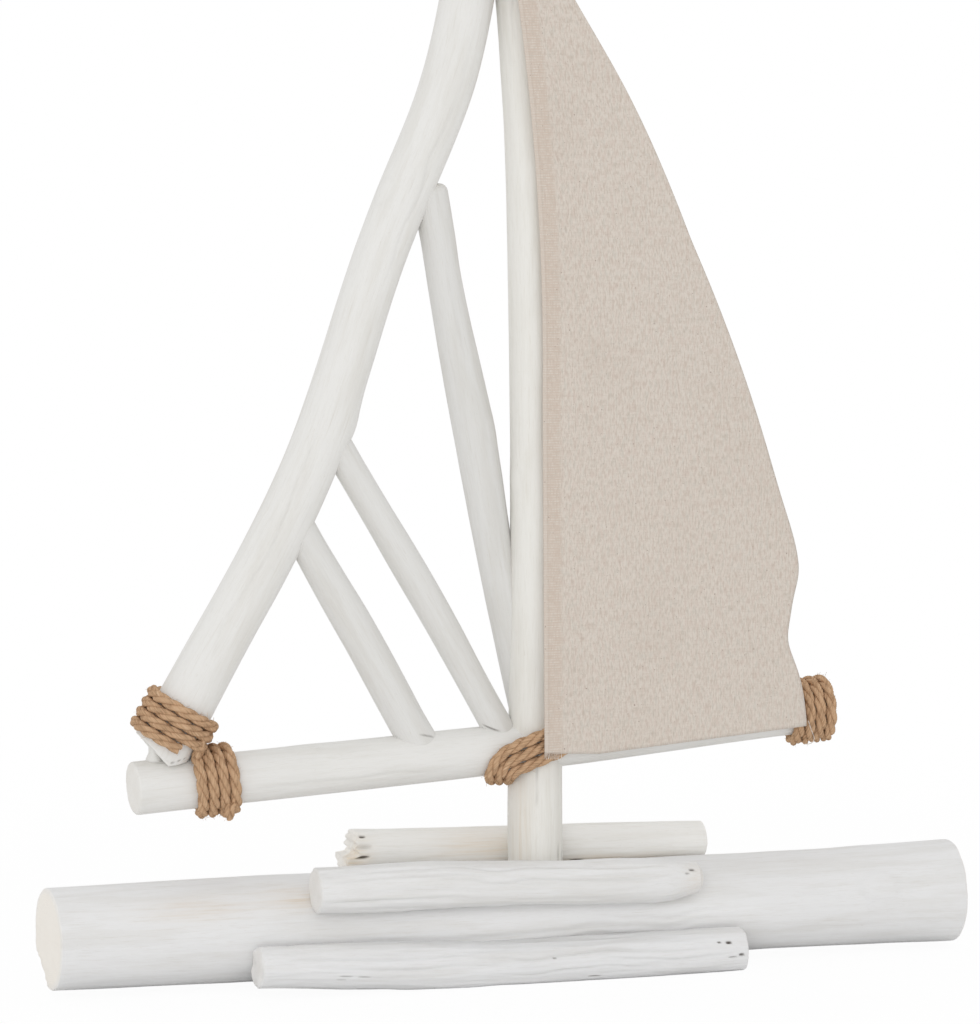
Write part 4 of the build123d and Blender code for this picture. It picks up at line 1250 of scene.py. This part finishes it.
class SailShape:
    """The cloth: its outline and its swell are read from the CAD node.

    The outline was drawn where the photograph shows it at the depth OUTLINE_Y, so a point
    nearer or farther than that is slid along the line of sight.
    """

    COLUMNS = 110
    ROWS = 230
    # Columns lie closer together at the luff.
    CROWDING = 1.25
    OUTLINE_Y = -28 * MM
    SIGHT = tan(radians(15))
    HALF_SOLID = 0.4 * MM
    # The depth is read a little inside the outline, in shares of the way, and the outline itself a
    # little inside its lowest and highest points.
    INSET_UP = 0.003
    INSET_ACROSS = 0.006
    INSET_Z = 0.2 * MM
    LEECH_EASE = 5 * MM
    # Height, reach and size in mm of small moves of the leech that the CAD's arcs leave out.
    LEECH_MOVES = ((236, 24, 1.9), (208, 14, -0.9), (179, 13, -1.1), (535, 38, -2.4))
    # Width and height in mm of the creases, and their share of the creases' depth.
    CREASES = ((26.0, 70.0, 1.0), (11.0, 34.0, 0.5))
    CREASE_SEED = 5
    # Creases fade in over the first of so many parts of the way from the luff, and from the foot.
    LOOSE_ACROSS = 6
    LOOSE_UP = 12
    # The luff curls off the mast round this height, and the tack's corner is drawn up.
    CURL = 1.6 * MM
    CURL_Z = 292 * MM
    CURL_TALL = 24 * MM
    CURL_WIDE = 9 * MM
    TACK_RISE = 4.2 * MM
    TACK_TALL = 22 * MM
    TACK_WIDE = 31 * MM
    CONTACT_EASE = 0.8 * MM
    RAYS_FROM_Y = -300 * MM

    def __init__(self):
        self.points, self.edges = node_arrays("sail")
        x, z = self.points[:, 0], self.points[:, 2]
        self.tack_z = z.min()
        self.clew_z = z[np.argmax(x - z)]
        self.peak_z = z.max()
        self.solid = node_surface("sail")

    def edge(self, heights, pick):
        """X of the luff (min) or the leech (max) at each height."""
        cuts = (section_points(self.points, self.edges, UPWARD, height) for height in heights)
        return np.array([pick(cut[:, 0]) for cut in cuts])

    def ease_leech(self, heights, x):
        """Round the corners of the leech and give it its small moves."""
        spread = np.exp(-0.5 * ((heights[:, None] - heights[None, :]) / self.LEECH_EASE) ** 2)
        even = np.linspace(x[0], x[-1], len(x))
        eased = even + spread @ (x - even) / spread.sum(axis=1)
        from_end = np.minimum(heights - heights[0], heights[-1] - heights)
        share = smoothstep(from_end, 0, 2 * self.LEECH_EASE)
        for height, reach, size in self.LEECH_MOVES:
            eased = eased + size * MM * np.exp(-(((heights / MM - height) / reach) ** 2))
        return x + share * (eased - x)

    def outline(self, up, across, eased):
        """X and Z of points up the sail and across it from luff to leech, both from 0 to 1."""
        highest = self.peak_z - self.INSET_Z
        luff_z = self.tack_z + up * (self.peak_z - self.tack_z)
        leech_z = self.clew_z + up * (self.peak_z - self.clew_z)
        luff_x = self.edge(np.clip(luff_z, self.tack_z + self.INSET_Z, highest), np.min)
        leech_x = self.edge(np.clip(leech_z, self.clew_z + self.INSET_Z, highest), np.max)
        if eased:
            leech_x = self.ease_leech(leech_z, leech_x)
        x = luff_x[:, None] + across * (leech_x - luff_x)[:, None]
        z = luff_z[:, None] + across * (leech_z - luff_z)[:, None]
        return x, z

    def depth(self, x, z):
        """Y of the middle of the CAD cloth at each point of its outline."""
        found = np.full(x.size, np.nan)
        for index, (px, pz) in enumerate(zip(x.ravel(), z.ravel())):
            spot = self.solid.ray_cast(Vector((px, self.RAYS_FROM_Y, pz)), Vector((0.0, 1.0, 0.0)))[0]
            if spot is not None:
                found[index] = spot.y + self.HALF_SOLID
        missed = np.isnan(found)
        found[missed] = np.interp(np.nonzero(missed)[0], np.nonzero(~missed)[0], found[~missed])
        return found.reshape(x.shape)

    def laid_on(self, stick, gap, x, y, z):
        """Depth of the cloth where a stick holds it off, eased into the depth that it has."""
        support = AXES[stick].front_surface(x, z) - gap
        room = self.CONTACT_EASE
        close = np.clip(0.5 + 0.5 * (y - support) / room, 0, 1)
        eased = y * (1 - close) + support * close - room * close * (1 - close) * 0.5
        return np.where(support > StickAxis.NO_STICK / 2, y, eased)

    def surface(self, sail):
        """Grid of the cloth's points, and the distance of each from the luff."""
        up = np.linspace(0, 1, self.ROWS)
        across = np.linspace(0, 1, self.COLUMNS)[None, :] ** self.CROWDING
        x, z = self.outline(up, across, True)
        inner_up = self.INSET_UP + (1 - 2 * self.INSET_UP) * up
        inner_across = self.INSET_ACROSS + (1 - 2 * self.INSET_ACROSS) * across
        y = self.depth(*self.outline(inner_up, inner_across, False))
        from_luff = x - x[:, :1]
        flat = np.stack((x, np.zeros_like(x), z), axis=-1)
        creases = np.zeros_like(x)
        for index, (wide, tall, share) in enumerate(self.CREASES):
            sizes = np.array((wide, 1.0, tall)) * MM
            creases += share * lattice_noise(flat / sizes, self.CREASE_SEED + index)
        loose = np.clip(across * self.LOOSE_ACROSS, 0, 1) * np.clip(up * self.LOOSE_UP, 0, 1)[:, None]
        y = y + sail.creases * creases * loose
        curled = np.exp(-(((z - self.CURL_Z) / self.CURL_TALL) ** 2))
        y = y - self.CURL * (curled * np.exp(-from_luff / self.CURL_WIDE))
        x = x + self.SIGHT * (y - self.OUTLINE_Y)
        low = np.clip(1 - (z - z[:1]) / self.TACK_TALL, 0, 1)
        z = z + self.TACK_RISE * low * np.clip(1 - from_luff / self.TACK_WIDE, 0, 1)
        for stick in ("mast", "boom"):
            y = self.laid_on(stick, sail.gap, x, y, z)
        return np.stack((x, y, z), axis=-1), from_luff


def sheet_area(grid):
    """Area of a grid of points."""
    first = np.cross(grid[1:, :-1] - grid[:-1, :-1], grid[:-1, 1:] - grid[:-1, :-1])
    second = np.cross(grid[:-1, 1:] - grid[1:, 1:], grid[1:, :-1] - grid[1:, 1:])
    return 0.5 * (np.linalg.norm(first, axis=-1).sum() + np.linalg.norm(second, axis=-1).sum())


class DRIFTWOOD_OT_hull(bpy.types.Operator):
    """Build the hull log and the four sticks at its sides"""

    bl_idname = "driftwood.hull"
    bl_label = "Hull log and side sticks"

    def execute(self, context):
        build_sticks(context, HULL_STICKS)
        return {"FINISHED"}


class DRIFTWOOD_OT_frame(bpy.types.Operator):
    """Build the mast, the boom and the leaning spar"""

    bl_idname = "driftwood.frame"
    bl_label = "Mast, boom and spar"

    def execute(self, context):
        build_sticks(context, FRAME_STICKS)
        return {"FINISHED"}


class DRIFTWOOD_OT_braces(bpy.types.Operator):
    """Build the three struts and the peg under the spar"""

    bl_idname = "driftwood.braces"
    bl_label = "Struts and peg"

    def execute(self, context):
        build_sticks(context, BRACE_STICKS)
        return {"FINISHED"}


# Rope centre lines in mm. The link is the strand from the spar's turns down to the boom's, the
# tail hangs from the last of those. Each turn of the crossing comes up under the boom on the fore
# side of the mast, slants over the mast's front and goes down behind it.
SPAR_LINK = ((-170.5, -2.0, 140.0), (-173.5, -13.0, 142.0), (-177.5, -19.5, 139.0))
BOOM_TAIL = ((-162.2, -22.5, 104.0), (-162.8, -20.5, 96.8))
CROSSING_TURNS = (
    (-10.4, 7.0, 113.0), (-12.6, -8.0, 108.8), (-16.2, -20.6, 114.5), (-12.0, -25.0, 124.6),
    (-2.1, -26.0, 130.4), (13.9, -26.0, 136.4), (22.0, -22.0, 140.2), (25.2, -12.0, 143.0),
    (23.5, 2.0, 142.5), (14.0, 9.6, 137.0), (2.0, 10.0, 127.0), (-7.0, 7.8, 114.0),
    (-7.9, -8.0, 108.9), (-10.9, -20.4, 112.6), (-8.2, -24.7, 119.8), (1.0, -26.0, 124.6),
    (13.6, -26.0, 129.8), (23.0, -23.6, 135.0), (31.0, -17.0, 141.0), (33.0, -8.0, 142.4),
    (30.0, 2.0, 141.0), (22.0, 9.0, 133.0), (9.0, 10.4, 122.0), (-2.0, 8.0, 112.6),
    (-3.0, -8.0, 109.0), (-5.8, -20.4, 111.4), (-3.6, -24.7, 115.4), (4.5, -26.0, 119.0),
    (15.6, -26.0, 123.2), (26.0, -24.2, 127.0), (36.0, -22.0, 134.0), (43.0, -15.0, 140.5),
    (44.0, -8.0, 142.8), (40.0, 3.0, 141.5), (31.0, 8.8, 133.0),
)
LASHING_SEEDS = {"lashing_fore": 3, "lashing_aft": 5, "lashing_crossing": 7, "lashing_head": 9}
HEAD_TURNS = 4
HEAD_INSET = 0.4


class DRIFTWOOD_OT_lashings(bpy.types.Operator):
    """Wind the four rope lashings"""

    bl_idname = "driftwood.lashings"
    bl_label = "Rope lashings"

    def execute(self, context):
        rope = context.scene.driftwood_rope
        tree, sockets = rope_tree(rope_material(rope))
        sizes = {
            "Diameter": rope.diameter, "Lay": rope.lay, "Strands": rope.strands, "Fuzz": rope.fuzz,
            "Fuzz density": rope.fuzz_count,
        }
        for node, paths in self.paths(rope.diameter / 2).items():
            piece = line_object(f"rope_{node}", paths)
            run_tree(piece, tree, sockets, {**sizes, "Seed": LASHING_SEEDS[node]})
            place_piece(piece, node)
        return {"FINISHED"}

    def paths(self, radius):
        """Centre lines of each lashing's rope."""
        fore = coil_path(BOOM_FORE_COIL, radius)
        link = spline_through((*np.array(SPAR_LINK) * MM, fore[0]), count=12)
        tail = spline_through((fore[-1], *np.array(BOOM_TAIL) * MM), count=8)
        crossing = spline_through(np.array(CROSSING_TURNS) * MM, count=12)
        low, high = (corner[2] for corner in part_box("lashing_head"))
        inset = radius * HEAD_INSET
        heights = np.linspace(low + inset, high - inset, HEAD_TURNS + 1)
        head = belt_path(("mast", "spar"), heights, radius * TIGHT)
        return {
            "lashing_fore": [coil_path(SPAR_COIL, radius), np.concatenate((link[:-1], fore, tail[1:]))],
            "lashing_aft": [coil_path(BOOM_AFT_COIL, radius)],
            "lashing_crossing": [softened(crossing, rounds=4)],
            "lashing_head": [softened(head, rounds=6)],
        }


class DRIFTWOOD_OT_sail(bpy.types.Operator):
    """Hang the linen sail in front of the mast"""

    bl_idname = "driftwood.sail"
    bl_label = "Linen sail"

    # The fringe runs this far along the foot from the tack. Its threads have a drop that varies,
    # a sway and a bow, and start a little above the edge, in mm.
    FRINGE = 9.8 * MM
    FRINGE_THREADS = 10
    FRINGE_ENDS = (0.04, 0.98)
    FRINGE_DROP = 3.7
    DROP_VARIES = 0.7
    FRINGE_SWAY = 0.9
    FRINGE_BOW = 0.5
    FRINGE_ABOVE = 0.6
    THREAD = 0.42 * MM
    THREAD_POINTS = 6
    THREAD_STEP = 1.37
    SWAY_SEED = 21
    DROP_SEED = 22
    CLEW_THREAD = (
        (165.0, -28.4, 137.4), (166.4, -29.4, 132.6), (168.2, -29.4, 127.4), (166.6, -28.6, 124.6),
        (163.2, -27.0, 124.0),
    )

    def execute(self, context):
        sail = context.scene.driftwood_sail
        grid, from_luff = SailShape().surface(sail)
        rows, columns = from_luff.shape
        points = grid.reshape(-1, 3)
        corner = np.arange(rows * columns).reshape(rows, columns)
        quads = np.stack((corner[:-1, :-1], corner[:-1, 1:], corner[1:, 1:], corner[1:, :-1]), axis=-1)
        piece = mesh_object("linen_sail", points, quads.reshape(-1, 4), {}, linen_material(sail))
        layer = piece.data.uv_layers.new(name="cloth")
        spots = np.empty(len(piece.data.loops), dtype=np.int32)
        piece.data.loops.foreach_get("vertex_index", spots)
        cloth = np.stack((from_luff.ravel(), points[:, 2]), axis=1)[spots]
        layer.uv.foreach_set("vector", cloth.ravel().astype(np.float32))
        solid = piece.modifiers.new("Cloth thickness", "SOLIDIFY")
        solid.thickness = sail.thickness
        solid.offset = 0.0
        make_plain(piece)
        place_piece(piece, "sail")
        fringe = self.hang_threads(sail, grid[0][from_luff[0] < self.FRINGE])
        float(sheet_area(grid))
        return {"FINISHED"}

    def hang_threads(self, sail, edge):
        """Short fringe along the start of the foot, and the thread that hangs at the clew."""
        spread = np.linspace(*self.FRINGE_ENDS, self.FRINGE_THREADS) * (len(edge) - 1)
        tops = np.stack([np.interp(spread, np.arange(len(edge)), values) for values in edge.T], axis=1)
        drop = np.linspace(0, 1, self.THREAD_POINTS)
        paths = []
        for index, top in enumerate(tops):
            spot = np.array((index * self.THREAD_STEP, 0.5, 0.5))
            sway = lattice_noise(spot, self.SWAY_SEED)
            longer = lattice_noise(spot, self.DROP_SEED)
            x = self.FRINGE_SWAY * sway * drop**2
            y = -self.FRINGE_BOW * drop * (1 - drop)
            z = self.FRINGE_ABOVE - (self.FRINGE_DROP + self.DROP_VARIES * longer) * drop
            paths.append(top + np.stack((x, y, z), axis=1) * MM)
        paths.append(spline_through(np.array(self.CLEW_THREAD) * MM, count=6))
        piece = line_object("linen_fringe", paths)
        tree, sockets = thread_tree(thread_material(sail))
        run_tree(piece, tree, sockets, {"Thickness": self.THREAD})
        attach(piece, BODY)
        return piece


class DRIFTWOOD_OT_stage(bpy.types.Operator):
    """Set the white floor, the soft lights and the camera"""

    bl_idname = "driftwood.stage"
    bl_label = "Floor, lights and camera"

    AIM = Vector((-0.011, 0.0, 0.2565))
    CAMERA = Vector((-0.6282, -2.3033, 0.5282))
    KEY_PLACE = Vector((-1.1, -2.6, 0.9))
    KEY_SIZE = 1.2
    # The floor looks white to the camera, a little less so near the boat, where its shade falls.
    NEAR_WHITE = 0.96
    SHADE_FROM = 0.25
    SHADE_TO = 0.9

    def execute(self, context):
        scene = context.scene
        stage = scene.driftwood_stage
        self.lay_floor(stage)
        self.light_sky(scene, stage)
        self.hang_key(stage)
        view = bpy.data.cameras.new("photo_camera")
        view.sensor_fit = "VERTICAL"
        view.sensor_height = 36.0
        view.lens = stage.lens
        view.clip_end = 50.0
        scene.camera = self.aimed("photo_camera", view, self.CAMERA)
        scene.view_settings.view_transform = "Standard"
        return {"FINISHED"}

    def aimed(self, name, data, place):
        """A camera or light at a place, turned towards the boat."""
        made = link_object(name, data)
        made.location = place
        made.rotation_euler = (self.AIM - place).to_track_quat("-Z", "Y").to_euler()
        return made

    def lay_floor(self, stage):
        half = stage.floor_size / 2
        corners = [(-half, -half, 0), (half, -half, 0), (half, half, 0), (-half, half, 0)]
        mesh = bpy.data.meshes.new("white_floor")
        mesh.from_pydata(corners, [], [(0, 1, 2, 3)])
        material, tree, surface = new_material("white_floor")
        surface.inputs["Base Color"].default_value = (*stage.floor, 1.0)
        surface.inputs["Roughness"].default_value = 0.9
        surface.inputs["Specular IOR Level"].default_value = 0.0
        seen = add_node(tree, "ShaderNodeLightPath", output="Is Camera Ray")
        white = add_node(tree, "ShaderNodeEmission", None, {"Color": (1, 1, 1, 1), "Strength": 1.0})
        away = add_node(tree, "ShaderNodeTexCoord", output="Object").length()
        clear = away.step(self.SHADE_FROM, self.SHADE_TO) * (1 - self.NEAR_WHITE) + self.NEAR_WHITE
        sides = {0: seen * clear, 1: Wire(surface.outputs[0]), 2: white}
        blend = seen.node("ShaderNodeMixShader", None, sides)
        output = next(node for node in tree.nodes if node.type == "OUTPUT_MATERIAL")
        tree.links.new(blend.socket, output.inputs["Surface"])
        mesh.materials.append(material)
        link_object("white_floor", mesh)

    def light_sky(self, scene, stage):
        """Even light from all sides, which rays from the camera and reflections see as white."""
        scene.world = bpy.data.worlds.new("soft_sky")
        scene.world.use_nodes = True
        tree = scene.world.node_tree
        tree.nodes.clear()
        seen = path = add_node(tree, "ShaderNodeLightPath", output="Is Camera Ray")
        for kind in ("Is Glossy Ray", "Is Transmission Ray"):
            seen = path.maths("MAXIMUM", seen, path.other(kind))
        strength = seen * (1.0 - stage.sky) + stage.sky
        white = {"Color": (1, 1, 1, 1), "Strength": strength}
        light = add_node(tree, "ShaderNodeBackground", None, white)
        output = tree.nodes.new("ShaderNodeOutputWorld")
        tree.links.new(light.socket, output.inputs["Surface"])

    def hang_key(self, stage):
        lamp = bpy.data.lights.new("key_light", "AREA")
        lamp.shape = "DISK"
        lamp.size = self.KEY_SIZE
        lamp.energy = stage.key
        self.aimed("key_light", lamp, self.KEY_PLACE).visible_camera = False


class DRIFTWOOD_PT_boat(bpy.types.Panel):
    """Lists the steps that build the boat"""

    bl_idname = "DRIFTWOOD_PT_boat"
    bl_label = "Driftwood boat"
    bl_space_type = "VIEW_3D"
    bl_region_type = "UI"
    bl_category = "Driftwood boat"

    def draw(self, context):
        for step in STEPS:
            self.layout.operator(step.bl_idname)


STEPS = (
    DRIFTWOOD_OT_hull, DRIFTWOOD_OT_frame, DRIFTWOOD_OT_braces, DRIFTWOOD_OT_lashings,
    DRIFTWOOD_OT_sail, DRIFTWOOD_OT_stage,
)
SETTINGS = {
    "driftwood_wood": DriftwoodSettings, "driftwood_rope": RopeSettings,
    "driftwood_sail": SailSettings, "driftwood_stage": StageSettings,
}


def register():
    for group in SETTINGS.values():
        bpy.utils.register_class(group)
    for name, group in SETTINGS.items():
        setattr(bpy.types.Scene, name, PointerProperty(type=group))
    for step in STEPS:
        bpy.utils.register_class(step)
    bpy.utils.register_class(DRIFTWOOD_PT_boat)


def unregister():
    bpy.utils.unregister_class(DRIFTWOOD_PT_boat)
    for step in reversed(STEPS):
        bpy.utils.unregister_class(step)
    for name, group in SETTINGS.items():
        delattr(bpy.types.Scene, name)
        bpy.utils.unregister_class(group)


def main():
    register()
    bpy.ops.driftwood.hull()
    bpy.ops.driftwood.frame()
    bpy.ops.driftwood.braces()
    bpy.ops.driftwood.lashings()
    bpy.ops.driftwood.sail()
    bpy.ops.driftwood.stage()


if __name__ == "__main__":
    main()
